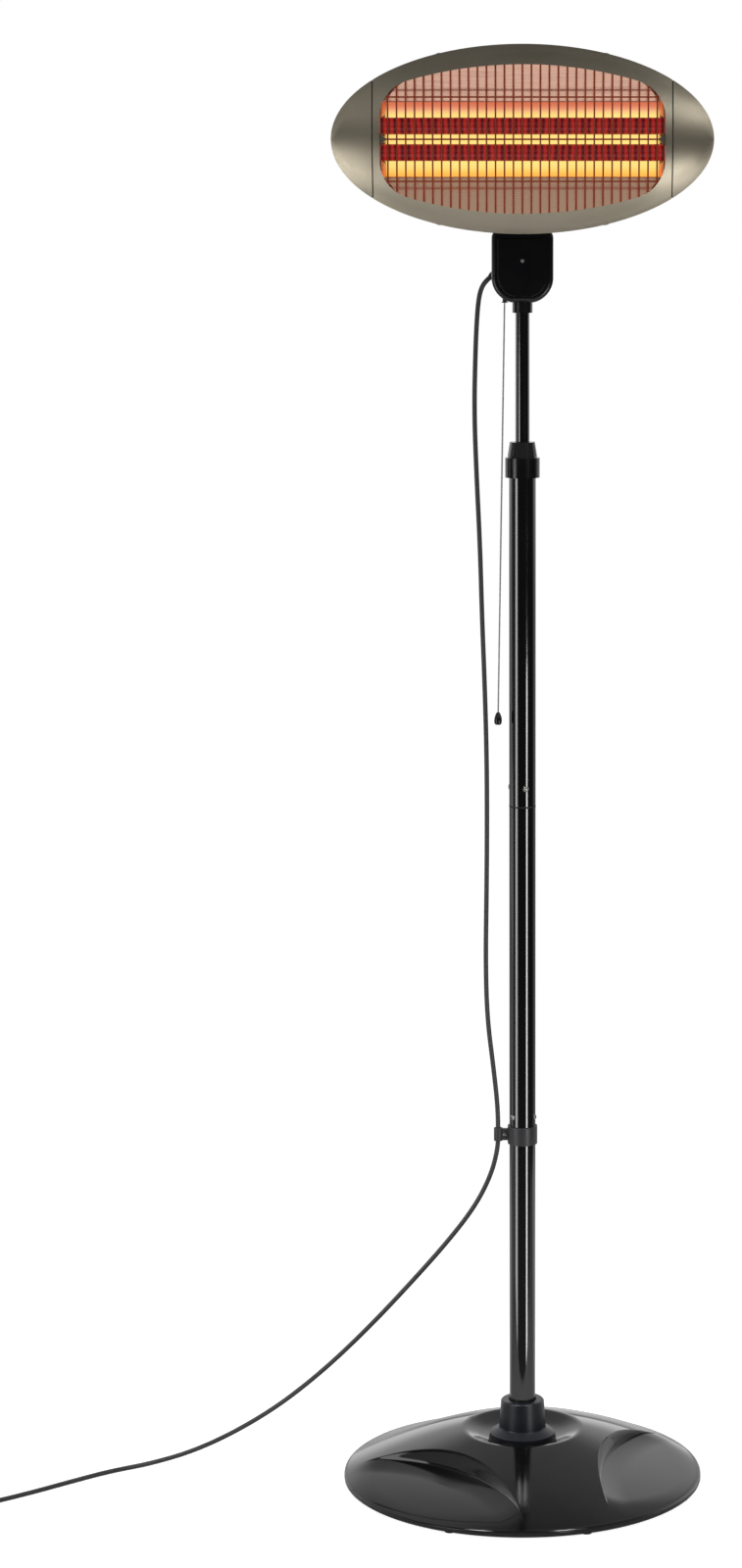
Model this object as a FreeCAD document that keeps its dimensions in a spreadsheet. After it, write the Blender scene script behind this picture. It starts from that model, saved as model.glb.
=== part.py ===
import FreeCAD, Part
import Sketcher
import math
import os
import types
from FreeCAD import Rotation, Vector

# Free-standing quartz patio heater. Lengths in millimetres, angles in degrees.
# The floor is at zero height, the pole runs up the Z axis and the heater faces -Y.
SIZES = {
    "base_diameter": 500.0,
    "base_sheet": 1.5,
    "rim_lift": 2.5,
    "rim_band": 5.0,
    "rim_round": 4.0,
    "dome_bow_radius": 900.0,
    "dish_diameter": 164.0,
    "dish_edge_height": 72.0,
    "dish_floor_height": 61.0,
    "dish_floor_diameter": 100.0,
    "facet_azimuth": 226.0,
    "facet_slope": 8.9,
    "facet_foot_distance": 117.0,
    "facet_foot_height": 30.7,
    "facet_bend_radius": 320.0,
    "facet_wall_run": 16.0,
    "facet_wall_height": 60.0,
    "plate_sheet": 1.2,
    "plate_lift": 4.0,
    "plate_edge_gap": 0.5,
    "plate_raise": 9.0,
    "plate_raise_diameter": 160.0,
    "plate_skirt_run": 15.0,
    "ballast_gap": 0.2,
    "ballast_edge": 5.0,
    "ballast_slope_offset": 12.0,
    "ballast_slope_height": 25.0,
    "ballast_hub_diameter": 166.0,
    "ballast_hub_height": 54.0,
    "ballast_bore": 30.0,
    "foot_diameter": 14.0,
    "foot_inset": 9.0,
    "foot_first_azimuth": 21.0,
    "flange_diameter": 70.0,
    "flange_sheet": 4.0,
    "bolt_circle": 50.0,
    "bolt_diameter": 6.0,
    "bolt_hole": 6.6,
    "bolt_head_diameter": 10.0,
    "bolt_head_height": 4.0,
    "bolt_end_height": 6.0,
    "nut_height": 5.0,
    "collar_flange_diameter": 91.5,
    "collar_flange_edge": 4.5,
    "collar_flange_rise": 11.5,
    "collar_foot_diameter": 66.0,
    "collar_sleeve_diameter": 65.0,
    "collar_top_diameter": 60.4,
    "collar_height": 52.0,
    "collar_top_round": 3.0,
    "collar_bore": 39.0,
    "collar_lip": 7.0,
    "collar_hollow_diameter": 54.0,
    "collar_recess_diameter": 72.0,
    "collar_recess": 9.0,
    "pole_diameter": 36.0,
    "pole_wall": 1.2,
    "lower_tube_length": 430.0,
    "middle_tube_length": 460.0,
    "upper_tube_length": 460.0,
    "joint_gap": 0.8,
    "coupler_reach": 48.0,
    "coupler_wall": 2.0,
    "coupler_gap": 0.15,
    "coupler_screw_rise": 26.0,
    "coupler_screw_diameter": 4.0,
    "coupler_screw_hole": 4.3,
    "coupler_screw_reach": 13.0,
    "coupler_screw_head": 7.0,
    "coupler_head_height": 2.0,
    "coupler_azimuth_low": 222.0,
    "coupler_azimuth_high": 285.0,
    "clip_height": 25.0,
    "clip_wall": 2.4,
    "clip_gap": 0.1,
    "loop_offset": 33.5,
    "loop_wall": 2.4,
    "loop_height": 18.0,
    "loop_gap": 0.3,
    "web_depth": 7.0,
    "web_height": 16.0,
    "web_start": 18.5,
    "web_end": 29.0,
    "clip_screw_at": 24.5,
    "clip_screw_diameter": 3.0,
    "clip_screw_head": 5.5,
    "clip_head_height": 1.6,
    "bush_spigot": 30.0,
    "bush_gap": 0.2,
    "bush_skirt": 11.0,
    "bush_wall": 2.0,
    "bush_cap": 4.0,
    "slide_gap": 0.4,
    "collet_height": 20.0,
    "collet_foot_diameter": 29.0,
    "collet_top_diameter": 25.0,
    "collet_slit": 2.0,
    "grip_drop": 13.3,
    "grip_height": 26.3,
    "grip_diameter": 46.4,
    "cone_height": 21.0,
    "cone_foot_diameter": 40.4,
    "cone_top_diameter": 33.8,
    "grip_gap": 0.5,
    "grip_lip": 6.0,
    "flute_diameter": 5.0,
    "flute_depth": 0.9,
    "flute_start": 3.0,
    "flute_first_azimuth": 9.0,
    "riser_diameter": 19.0,
    "riser_wall": 1.2,
    "riser_length": 480.0,
    "riser_shown": 171.0,
    "glide_height": 32.0,
    "ferrule_diameter": 27.0,
    "ferrule_height": 14.0,
    "ferrule_tongue": 5.0,
    "ferrule_tongue_diameter": 24.0,
    "riser_in_neck": 70.0,
    "neck_width": 82.0,
    "neck_depth": 42.0,
    "neck_height": 96.0,
    "neck_bottom_width": 30.0,
    "neck_corner_rise": 33.0,
    "neck_shoulder": 12.0,
    "neck_wall": 2.5,
    "neck_floor": 7.0,
    "neck_edge_round": 6.0,
    "boss_diameter": 8.0,
    "boss_offset": 29.0,
    "boss_top_rise": 78.0,
    "boss_low_rise": 28.0,
    "case_screw_diameter": 3.0,
    "case_screw_hole": 3.4,
    "case_screw_head": 6.0,
    "case_head_height": 2.0,
    "case_screw_length": 30.0,
    "pivot_rise": 128.0,
    "knuckle_diameter": 26.0,
    "knuckle_width": 40.0,
    "pivot_diameter": 8.0,
    "pivot_hole": 8.8,
    "ear_gap": 0.4,
    "ear_sheet": 2.4,
    "ear_diameter": 24.0,
    "pivot_head_diameter": 14.0,
    "pivot_head_height": 5.0,
    "gland_tilt": 40.0,
    "gland_x": -35.0,
    "gland_rise": 53.0,
    "gland_diameter": 10.0,
    "gland_inner": 4.0,
    "gland_outer": 10.0,
    "gland_tip_diameter": 8.4,
    "gland_hole": 10.3,
    "cord_diameter": 6.6,
    "pull_x": -23.4,
    "pull_y": -9.0,
    "pull_cord_diameter": 2.4,
    "pull_cord_length": 567.0,
    "pull_lean": 0.95,
    "pull_cord_top_rise": 32.0,
    "pull_hole": 6.2,
    "pull_bush_bore": 3.0,
    "pull_bush_diameter": 6.0,
    "pull_bush_flange": 8.4,
    "pull_bush_low": 13.5,
    "pull_bush_high": 23.5,
    "pull_bush_lip": 1.2,
    "bell_diameter": 10.0,
    "bell_height": 17.0,
    "bell_neck_diameter": 4.0,
    "bell_foot_round": 3.0,
    "switch_width": 17.0,
    "switch_depth": 12.0,
    "switch_height": 28.0,
    "switch_gap": 1.0,
    "head_width": 500.0,
    "head_height": 244.0,
    "head_rise": 98.0,
    "rim_forward": 50.0,
    "bezel_sheet": 1.2,
    "bezel_bulge": 45.0,
    "bezel_skirt": 7.0,
    "end_cap_length": 55.0,
    "end_seam_gap": 0.8,
    "window_end_margin": 64.0,
    "window_edge_margin": 26.5,
    "window_crown": 69.0,
    "window_corner": 50.0,
    "shell_gap": 0.4,
    "shell_tuck": 5.0,
    "shell_rim_wall": 2.8,
    "shell_depth": 52.0,
    "shell_flat_depth": 40.0,
    "vent_width": 34.0,
    "vent_height": 4.0,
    "vent_pitch_x": 44.0,
    "vent_pitch_z": 12.0,
    "vent_rise": 28.0,
    "rim_screw_inset": 140.0,
    "rim_screw_diameter": 3.4,
    "rim_screw_hole": 3.8,
    "rim_screw_head": 6.6,
    "rim_head_height": 1.8,
    "rim_screw_length": 7.0,
    "guard_wire": 2.2,
    "guard_pitch": 11.7,
    "guard_setback": 54.6,
    "guard_overlap": 5.0,
    "guard_bar_rise": 54.0,
    "guard_side_gap": 2.0,
    "lamp_spacing": 34.0,
    "lamp_setback": 37.0,
    "lamp_diameter": 22.0,
    "lamp_wall": 1.2,
    "element_diameter": 10.0,
    "element_gap": 1.0,
    "focal_length": 17.0,
    "trough_reach": 32.0,
    "wing_edge_setback": 52.0,
    "wing_overlap": 4.5,
    "reflector_sheet": 0.8,
    "reflector_margin": 3.0,
    "end_plate_inset": 2.0,
    "end_plate_sheet": 1.2,
    "end_plate_front": 53.0,
    "end_plate_back": 24.0,
    "end_plate_reach": 54.0,
    "end_plate_back_reach": 26.0,
    "lamp_hole_gap": 0.3,
    "holder_diameter": 25.0,
    "holder_length": 13.0,
    "holder_bore_gap": 0.2,
    "holder_socket": 4.0,
    "terminal_width": 44.0,
    "terminal_depth": 11.0,
    "terminal_height": 18.0,
    "terminal_x": -70.0,
    "bracket_plate_low": 34.0,
    "bracket_plate_high": 90.0,
    "bracket_slope_low": 18.0,
    "bracket_slope_high": 52.0,
    "rivet_diameter": 4.0,
    "rivet_hole": 4.3,
    "rivet_head": 8.0,
    "rivet_head_height": 1.6,
    "rivet_inside": 3.6,
    "rivet_x": 13.0,
    "rivet_low": 62.0,
    "rivet_high": 82.0,
    "plug_diameter": 37.0,
    "plug_face": 13.0,
    "plug_body": 22.0,
    "plug_tail": 20.0,
    "plug_tail_diameter": 11.0,
    "pin_diameter": 4.8,
    "pin_length": 19.0,
    "pin_spacing": 19.0,
    "coil_pitch": 8.0,
    "coil_outer_radius": 41.0,
    "coil_x": -757.0,
    "coil_y": -193.0,
    "floor_gap": 0.1,
    "gland_run": 9.0,
    "coil_run_in": 34.0,
    "plug_reach": 62.0,
    "plug_aside": 18.0,
    "tail_run": 16.0,
    "tail_bend_reach": 33.0,
    "tail_bend_aside": 3.0,
    "tail_bend_lift": 3.0,
    "plug_run_in": 15.0,
    "tie_search": 12.0,
    "tie_width": 9.0,
    "tie_sheet": 0.9,
    "tie_gap": 0.5,
    "drill_overrun": 5.0,
    "room": 900.0,
}

FOOT_COUNT = 8
FACET_COUNT = 3
BOLT_COUNT = 4
COUPLER_SCREW_COUNT = 3
COLLET_SLIT_COUNT = 3
FLUTE_COUNT = 10
VENT_COLUMNS = 5
VENT_ROWS = 2

# The lens-shaped head shells are caps of a larger ellipsoid: the rim cuts it at
# this share of its half-axes, and that far from its centre as a share of its depth.
RIM_SHARE = 0.8
RIM_OFFSET_SHARE = 0.6

# The ballast reaches this share of the way from the foot of the scallops to the rim.
BALLAST_EDGE_SHARE = 0.615


class Size:
    """A length or angle with its value and the sheet formula that gives it."""

    def __init__(self, value, formula):
        self.value = value
        self.formula = formula

    def _with(self, other, sign, value):
        return Size(value, f"({self.formula} {sign} {as_size(other).formula})")

    def __add__(self, other):
        return self._with(other, "+", self.value + as_size(other).value)

    def __radd__(self, other):
        return as_size(other) + self

    def __sub__(self, other):
        return self._with(other, "-", self.value - as_size(other).value)

    def __rsub__(self, other):
        return as_size(other) - self

    def __mul__(self, other):
        return self._with(other, "*", self.value * as_size(other).value)

    def __rmul__(self, other):
        return as_size(other) * self

    def __truediv__(self, other):
        return self._with(other, "/", self.value / as_size(other).value)

    def __neg__(self):
        return Size(-self.value, f"(-1 * {self.formula})")


def as_size(item):
    if isinstance(item, Size):
        return item
    return Size(float(item), repr(float(item)))


def root(item):
    return Size(math.sqrt(item.value), f"sqrt({item.formula})")


def cosine(item):
    return Size(math.cos(math.radians(item.value)), f"cos({item.formula})")


def sine(item):
    return Size(math.sin(math.radians(item.value)), f"sin({item.formula})")


def tangent(item):
    return Size(math.tan(math.radians(item.value)), f"tan({item.formula})")


doc = FreeCAD.newDocument("patio_heater")
sheet = doc.addObject("Spreadsheet::Sheet", "Sizes")
for row, (alias, number) in enumerate(SIZES.items(), start=1):
    sheet.set(f"A{row}", alias)
    sheet.set(f"B{row}", str(number))
    sheet.setAlias(f"B{row}", alias)
doc.recompute()
s = types.SimpleNamespace(**{name: Size(float(sheet.get(name)), f"Sizes.{name}") for name in SIZES})
zero = Size(0.0, "0")


def bind(item, **properties):
    for name, size in properties.items():
        item.setExpression(name, as_size(size).formula)
    return item


def place(item, at, rotation=None):
    """Put an object at a bound position, turned by a fixed rotation."""
    x, y, z = (as_size(value) for value in at)
    turn = rotation or Rotation()
    item.Placement = FreeCAD.Placement(Vector(x.value, y.value, z.value), turn)
    for axis, size in zip("xyz", (x, y, z)):
        item.setExpression(f"Placement.Base.{axis}", size.formula)
    return item


ALONG_X = Rotation(Vector(0, 1, 0), 90)
ALONG_Y = Rotation(Vector(1, 0, 0), -90)


def rod(name, diameter, length, at, rotation=None):
    item = doc.addObject("Part::Cylinder", name)
    bind(item, Radius=diameter / 2, Height=length)
    return place(item, at, rotation)


def block(name, low, high):
    item = doc.addObject("Part::Box", name)
    low = [as_size(value) for value in low]
    high = [as_size(value) for value in high]
    bind(item, Length=high[0] - low[0], Width=high[1] - low[1], Height=high[2] - low[2])
    return place(item, low)


def cut(name, base, *tools):
    tool = tools[0] if len(tools) == 1 else group(f"{name}_tools", tools)
    item = doc.addObject("Part::Cut", name)
    item.Base = base
    item.Tool = tool
    return item


def common(name, base, tool):
    item = doc.addObject("Part::Common", name)
    item.Base = base
    item.Tool = tool
    return item


def fuse(name, *items):
    item = doc.addObject("Part::MultiFuse", name)
    item.Shapes = list(items)
    return item


def group(name, items):
    item = doc.addObject("Part::Compound", name)
    item.Links = list(items)
    return item


def arc_centre(start, end, radius):
    """Centre of the counter-clockwise arc of this radius between two points."""
    chord = end - start
    half = chord.Length / 2
    normal = Vector(-chord.y, chord.x, 0).normalize()
    return (start + end) * 0.5 + normal * math.sqrt(max(radius * radius - half * half, 0.0))


def outline(body, name, plane, corners, lift=None):
    """A closed sketch through bound corners (x, y) or (x, y, radius of the arc that follows).

    A positive radius turns counter-clockwise, a negative one clockwise.
    """
    sketch = body.newObject("Sketcher::SketchObject", name)
    support = [item for item in body.Origin.OriginFeatures if item.Role == plane][0]
    sketch.AttachmentSupport = [(support, "")]
    sketch.MapMode = "FlatFace"
    if lift is not None:
        sketch.AttachmentOffset = FreeCAD.Placement(Vector(0, 0, lift.value), Rotation())
        sketch.setExpression("AttachmentOffset.Base.z", lift.formula)
    corners = [tuple(as_size(value) for value in corner) for corner in corners]
    points = [Vector(corner[0].value, corner[1].value, 0) for corner in corners]
    ends = []
    for index, corner in enumerate(corners):
        start = points[index]
        end = points[(index + 1) % len(points)]
        if len(corner) == 2:
            sketch.addGeometry(Part.LineSegment(start, end))
            ends.append((1, 2))
            continue
        radius = abs(corner[2].value)
        forward = corner[2].value > 0
        first, last = (start, end) if forward else (end, start)
        centre = arc_centre(first, last, radius)
        begin = math.atan2(first.y - centre.y, first.x - centre.x)
        finish = math.atan2(last.y - centre.y, last.x - centre.x)
        if finish <= begin:
            finish += 2 * math.pi
        circle = Part.Circle(centre, Vector(0, 0, 1), radius)
        sketch.addGeometry(Part.ArcOfCircle(circle, begin, finish))
        ends.append((1, 2) if forward else (2, 1))
    for index in range(len(corners)):
        follower = (index + 1) % len(corners)
        sketch.addConstraint(
            Sketcher.Constraint("Coincident", index, ends[index][1], follower, ends[follower][0])
        )
    for index, corner in enumerate(corners):
        for kind, axis, size in (("DistanceX", -2, corner[0]), ("DistanceY", -1, corner[1])):
            if size.value == 0:
                sketch.addConstraint(Sketcher.Constraint("PointOnObject", index, ends[index][0], axis))
                continue
            number = sketch.addConstraint(
                Sketcher.Constraint(kind, -1, 1, index, ends[index][0], size.value)
            )
            sketch.setExpression(f"Constraints[{number}]", size.formula)
        if len(corner) == 3:
            size = corner[2] if corner[2].value > 0 else -corner[2]
            number = sketch.addConstraint(Sketcher.Constraint("Radius", index, size.value))
            sketch.setExpression(f"Constraints[{number}]", size.formula)
    return sketch


def revolve(name, corners):
    """A body turned about its own Z axis from corners (radius, height)."""
    body = doc.addObject("PartDesign::Body", name)
    sketch = outline(body, f"{name}_profile", "XZ_Plane", corners)
    turn = body.newObject("PartDesign::Revolution", f"{name}_turn")
    turn.Profile = sketch
    turn.ReferenceAxis = (sketch, ["V_Axis"])
    turn.Angle = 360
    return body


def pad(name, plane, corners, length, lift=None):
    """A body padded along the plane's normal from a bound outline."""
    body = doc.addObject("PartDesign::Body", name)
    sketch = outline(body, f"{name}_profile", plane, corners, lift)
    feature = body.newObject("PartDesign::Pad", f"{name}_pad")
    feature.Profile = sketch
    bind(feature, Length=length)
    return body


def sleeve(name, outer, inner, low, high):
    """A plain ring or tube about the Z axis."""
    return revolve(
        name, [(inner / 2, low), (outer / 2, low), (outer / 2, high), (inner / 2, high)]
    )


def around(count, first):
    """Bound azimuths spaced evenly about the pole."""
    return [first + 360.0 / count * index for index in range(count)]


PARTS = {}


def keep(name, item):
    PARTS[name] = item
    return item


# Heights of the stacked pieces, from the floor up.
z_floor = s.dish_floor_height
z_tube = z_floor + s.flange_sheet
z_low_seam = z_tube + s.lower_tube_length
z_high_seam = z_low_seam + s.middle_tube_length
z_pole_top = z_high_seam + s.upper_tube_length
z_grip = z_pole_top - s.grip_drop
z_grip_top = z_grip + s.grip_height + s.cone_height
z_ferrule = z_grip_top + s.riser_shown
z_neck = z_ferrule + s.ferrule_height
z_pivot = z_ferrule + s.pivot_rise
z_head = z_pivot + s.head_rise


# Weighted base: a pressed dome with a sunk centre dish and three scalloped facets.
def dome_corners(inset, low):
    rim = s.base_diameter / 2 - inset
    shoulder = s.rim_lift + s.rim_band + s.rim_round
    return [
        (zero, low),
        (rim, low),
        (rim, s.rim_lift + s.rim_band, s.rim_round * 1.2 - inset / 2),
        (rim - s.rim_round, shoulder - inset, s.dome_bow_radius),
        (s.dish_diameter / 2, s.dish_edge_height - inset),
        (s.dish_floor_diameter / 2, s.dish_floor_height - inset),
        (zero, s.dish_floor_height - inset),
    ]


def facet_cutter(name, azimuth, inset):
    slope = s.facet_slope
    reach = s.facet_foot_distance + s.facet_bend_radius
    level = s.facet_foot_height - tangent(slope) * s.facet_bend_radius - inset
    item = doc.addObject("Part::Cone", name)
    bind(
        item,
        Radius1=s.facet_bend_radius + inset,
        Radius2=s.facet_bend_radius + s.facet_wall_run + inset,
        Height=s.facet_wall_height,
    )
    lean = Rotation(Vector(0, 1, 0), slope.value)
    turn = Rotation(Vector(0, 0, 1), azimuth.value).multiply(lean)
    return place(item, (reach * cosine(azimuth), reach * sine(azimuth), level), turn)


facet_azimuths = around(FACET_COUNT, s.facet_azimuth)
dome_skin = revolve("dome_skin", dome_corners(zero, s.rim_lift))
dome_void = revolve("dome_void", dome_corners(s.base_sheet, zero))
for index, azimuth in enumerate(facet_azimuths):
    dome_skin = cut(f"skin_facet_{index}", dome_skin, facet_cutter(f"facet_{index}", azimuth, zero))
    under = facet_cutter(f"facet_under_{index}", azimuth, s.base_sheet)
    dome_void = cut(f"void_facet_{index}", dome_void, under)

bolt_azimuths = around(BOLT_COUNT, as_size(45.0))
bolt_spots = [
    (s.bolt_circle / 2 * cosine(azimuth), s.bolt_circle / 2 * sine(azimuth))
    for azimuth in bolt_azimuths
]
bolt_drill = group(
    "bolt_drill",
    [
        rod(f"bolt_drill_{index}", s.bolt_hole, z_tube + s.drill_overrun, (x, y, zero))
        for index, (x, y) in enumerate(bolt_spots)
    ],
)
dome_shell = cut("dome_shell", dome_skin, dome_void)
keep("base_dome", cut("dome_drilled", dome_shell, bolt_drill))

plate_top = s.plate_lift + s.plate_sheet
raise_in = s.plate_raise_diameter / 2
raise_out = raise_in + s.plate_skirt_run
plate_edge = s.base_diameter / 2 - s.base_sheet - s.plate_edge_gap
plate_blank = revolve(
    "plate_blank",
    [
        (s.ballast_bore / 2, s.plate_lift + s.plate_raise),
        (raise_in, s.plate_lift + s.plate_raise),
        (raise_out, s.plate_lift),
        (plate_edge, s.plate_lift),
        (plate_edge, plate_top),
        (raise_out + s.plate_sheet / 2, plate_top),
        (raise_in + s.plate_sheet / 2, plate_top + s.plate_raise),
        (s.ballast_bore / 2, plate_top + s.plate_raise),
    ],
)
keep("base_plate", cut("plate_drilled", plate_blank, bolt_drill))

ballast_low = plate_top + s.ballast_gap
ballast_edge = s.facet_foot_distance + (s.base_diameter / 2 - s.facet_foot_distance) * BALLAST_EDGE_SHARE
ballast_blank = revolve(
    "ballast_blank",
    [
        (s.ballast_bore / 2, plate_top + s.plate_raise),
        (raise_in + s.plate_sheet, plate_top + s.plate_raise),
        (raise_out + s.plate_sheet + s.ballast_gap, ballast_low),
        (ballast_edge, ballast_low),
        (ballast_edge, ballast_low + s.ballast_edge),
        (s.facet_foot_distance + s.ballast_slope_offset, s.ballast_slope_height),
        (s.ballast_hub_diameter / 2, s.ballast_slope_height + s.ballast_edge),
        (s.ballast_hub_diameter / 2, s.ballast_hub_height),
        (s.ballast_bore / 2, s.ballast_hub_height),
    ],
)
keep("ballast", cut("ballast_drilled", ballast_blank, bolt_drill))

feet = []
for index, azimuth in enumerate(around(FOOT_COUNT, s.foot_first_azimuth)):
    foot_reach = s.base_diameter / 2 - s.foot_inset
    spot = (foot_reach * cosine(azimuth), foot_reach * sine(azimuth), zero)
    feet.append(rod(f"foot_{index}", s.foot_diameter, s.plate_lift, spot))
keep("rubber_feet", group("feet", feet))

flange_blank = rod("flange_blank", s.flange_diameter, s.flange_sheet, (zero, zero, z_floor))
keep("foot_flange", cut("flange_drilled", flange_blank, bolt_drill))
bolts = []
nuts = []
nut_low = s.plate_lift + s.plate_raise - s.nut_height
for index, (x, y) in enumerate(bolt_spots):
    length = z_tube - s.bolt_end_height
    shank = rod(f"bolt_shank_{index}", s.bolt_diameter, length, (x, y, s.bolt_end_height))
    head = rod(f"bolt_head_{index}", s.bolt_head_diameter, s.bolt_head_height, (x, y, z_tube))
    bolts.append(fuse(f"bolt_{index}", shank, head))
    nut = doc.addObject("Part::Prism", f"nut_blank_{index}")
    nut.Polygon = 6
    bind(nut, Circumradius=s.bolt_head_diameter / 2, Height=s.nut_height)
    place(nut, (x, y, nut_low))
    hole = rod(f"nut_hole_{index}", s.bolt_hole, s.nut_height, (x, y, nut_low))
    nuts.append(cut(f"nut_{index}", nut, hole))
keep("base_bolts", group("bolts", bolts))
keep("base_nuts", group("nuts", nuts))

collar_top = z_floor + s.collar_height
keep(
    "base_collar",
    revolve(
        "collar",
        [
            (s.collar_recess_diameter / 2, z_floor),
            (s.collar_flange_diameter / 2, z_floor),
            (s.collar_flange_diameter / 2, z_floor + s.collar_flange_edge),
            (s.collar_foot_diameter / 2, z_floor + s.collar_flange_rise),
            (s.collar_sleeve_diameter / 2, z_floor + s.collar_flange_rise * 1.15),
            (s.collar_top_diameter / 2, collar_top - s.collar_top_round, s.collar_top_round),
            (s.collar_top_diameter / 2 - s.collar_top_round, collar_top),
            (s.collar_bore / 2, collar_top),
            (s.collar_bore / 2, collar_top - s.collar_lip),
            (s.collar_hollow_diameter / 2, collar_top - s.collar_lip),
            (s.collar_hollow_diameter / 2, z_floor + s.collar_recess),
            (s.collar_recess_diameter / 2, z_floor + s.collar_recess * 0.8),
        ],
    ),
)

# Pole: three tubes butted end to end over inner couplers, each held by three screws.
pole_bore = s.pole_diameter - s.pole_wall * 2


def coupler_screws(name, seam, first):
    drills = []
    screws = []
    for index, azimuth in enumerate(around(COUPLER_SCREW_COUNT, first)):
        turn = Rotation(Vector(0, 0, 1), azimuth.value).multiply(ALONG_X)
        height = seam + s.coupler_screw_rise
        inner = s.coupler_screw_reach
        seat = s.pole_diameter / 2
        start = (inner * cosine(azimuth), inner * sine(azimuth), height)
        rim = (seat * cosine(azimuth), seat * sine(azimuth), height)
        bore = s.pole_diameter / 2 - inner + s.drill_overrun
        drills.append(rod(f"{name}_drill_{index}", s.coupler_screw_hole, bore, start, turn))
        length = seat - inner + s.coupler_head_height
        shank = rod(f"{name}_shank_{index}", s.coupler_screw_diameter, length, start, turn)
        head = rod(f"{name}_head_{index}", s.coupler_screw_head, s.coupler_head_height, rim, turn)
        screws.append(fuse(f"{name}_screw_{index}", shank, head))
    return group(f"{name}_drills", drills), screws


low_drills, low_screws = coupler_screws("low", z_low_seam, s.coupler_azimuth_low)
high_drills, high_screws = coupler_screws("high", z_high_seam, s.coupler_azimuth_high)
keep("coupler_screws", group("pole_screws", low_screws + high_screws))
keep("lower_tube", sleeve("tube_low", s.pole_diameter, pole_bore, z_tube, z_low_seam))
middle = sleeve("tube_middle", s.pole_diameter, pole_bore, z_low_seam + s.joint_gap, z_high_seam)
keep("middle_tube", cut("tube_middle_drilled", middle, low_drills))
upper = sleeve("tube_upper", s.pole_diameter, pole_bore, z_high_seam + s.joint_gap, z_pole_top)
keep("upper_tube", cut("tube_upper_drilled", upper, high_drills))
coupler_diameter = pole_bore - s.coupler_gap * 2
coupler_bore = coupler_diameter - s.coupler_wall * 2
for name, seam, drills in (
    ("lower_coupler", z_low_seam, low_drills),
    ("upper_coupler", z_high_seam, high_drills),
):
    low, high = seam - s.coupler_reach, seam + s.coupler_reach
    blank = sleeve(f"{name}_blank", coupler_diameter, coupler_bore, low, high)
    keep(name, cut(f"{name}_drilled", blank, drills))

# Cable clip: a band at the lower joint with a loop that holds the mains lead.
clip_low = z_low_seam - s.clip_height / 2
clip_high = z_low_seam + s.clip_height / 2
band_bore = s.pole_diameter + s.clip_gap * 2
band = sleeve("clip_band", band_bore + s.clip_wall * 2, band_bore, clip_low, clip_high)
loop_bore = s.cord_diameter + s.loop_gap * 2
loop_low = z_low_seam - s.loop_height / 2
loop = rod("clip_loop", loop_bore + s.loop_wall * 2, s.loop_height, (-s.loop_offset, zero, loop_low))
web = block(
    "clip_web",
    (-s.web_end, -s.web_depth / 2, z_low_seam - s.web_height / 2),
    (-s.web_start, s.web_depth / 2, z_low_seam + s.web_height / 2),
)
loop_drill = rod(
    "clip_loop_drill",
    loop_bore,
    s.loop_height + s.drill_overrun * 2,
    (-s.loop_offset, zero, loop_low - s.drill_overrun),
)
screw_turn = ALONG_Y
clip_screw_start = (-s.clip_screw_at, -s.web_depth / 2, z_low_seam)
clip_drill = rod("clip_drill", s.clip_screw_diameter * 1.1, s.web_depth, clip_screw_start, screw_turn)
clip_solid = fuse("clip_solid", band, loop, web)
keep("cable_clip", cut("clip_drilled", clip_solid, loop_drill, clip_drill))
clip_shank = rod("clip_shank", s.clip_screw_diameter, s.web_depth, clip_screw_start, screw_turn)
clip_head = rod(
    "clip_head",
    s.clip_screw_head,
    s.clip_head_height,
    (-s.clip_screw_at, -s.web_depth / 2 - s.clip_head_height, z_low_seam),
    screw_turn,
)
keep("clip_screw", fuse("clip_screw_solid", clip_shank, clip_head))

# Height clamp: a reducer bush on the pole, a split collet and a twist grip over both.
slide_bore = s.riser_diameter + s.slide_gap * 2
spigot = pole_bore - s.bush_gap * 2
skirt_bore = s.pole_diameter + s.bush_gap * 2
bush_diameter = skirt_bore + s.bush_wall * 2
bush_top = z_pole_top + s.bush_cap
keep(
    "clamp_bush",
    revolve(
        "bush",
        [
            (slide_bore / 2, z_pole_top - s.bush_spigot),
            (spigot / 2, z_pole_top - s.bush_spigot),
            (spigot / 2, z_pole_top),
            (skirt_bore / 2, z_pole_top),
            (skirt_bore / 2, z_pole_top - s.bush_skirt),
            (bush_diameter / 2, z_pole_top - s.bush_skirt),
            (bush_diameter / 2, bush_top),
            (slide_bore / 2, bush_top),
        ],
    ),
)
collet_top = bush_top + s.collet_height
collet_ring = revolve(
    "collet_ring",
    [
        (slide_bore / 2, bush_top),
        (s.collet_foot_diameter / 2, bush_top),
        (s.collet_top_diameter / 2, collet_top),
        (slide_bore / 2, collet_top),
    ],
)
slits = []
for index, azimuth in enumerate(around(COLLET_SLIT_COUNT, as_size(90.0))):
    slit = doc.addObject("Part::Box", f"collet_slit_{index}")
    bind(slit, Length=s.collet_foot_diameter, Width=s.collet_slit, Height=s.collet_height)
    turn = Rotation(Vector(0, 0, 1), azimuth.value)
    side = s.collet_slit / 2
    spot = (side * sine(azimuth), -side * cosine(azimuth), bush_top + s.collet_height / 4)
    slits.append(place(slit, spot, turn))
keep("clamp_collet", cut("collet_split", collet_ring, *slits))

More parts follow.
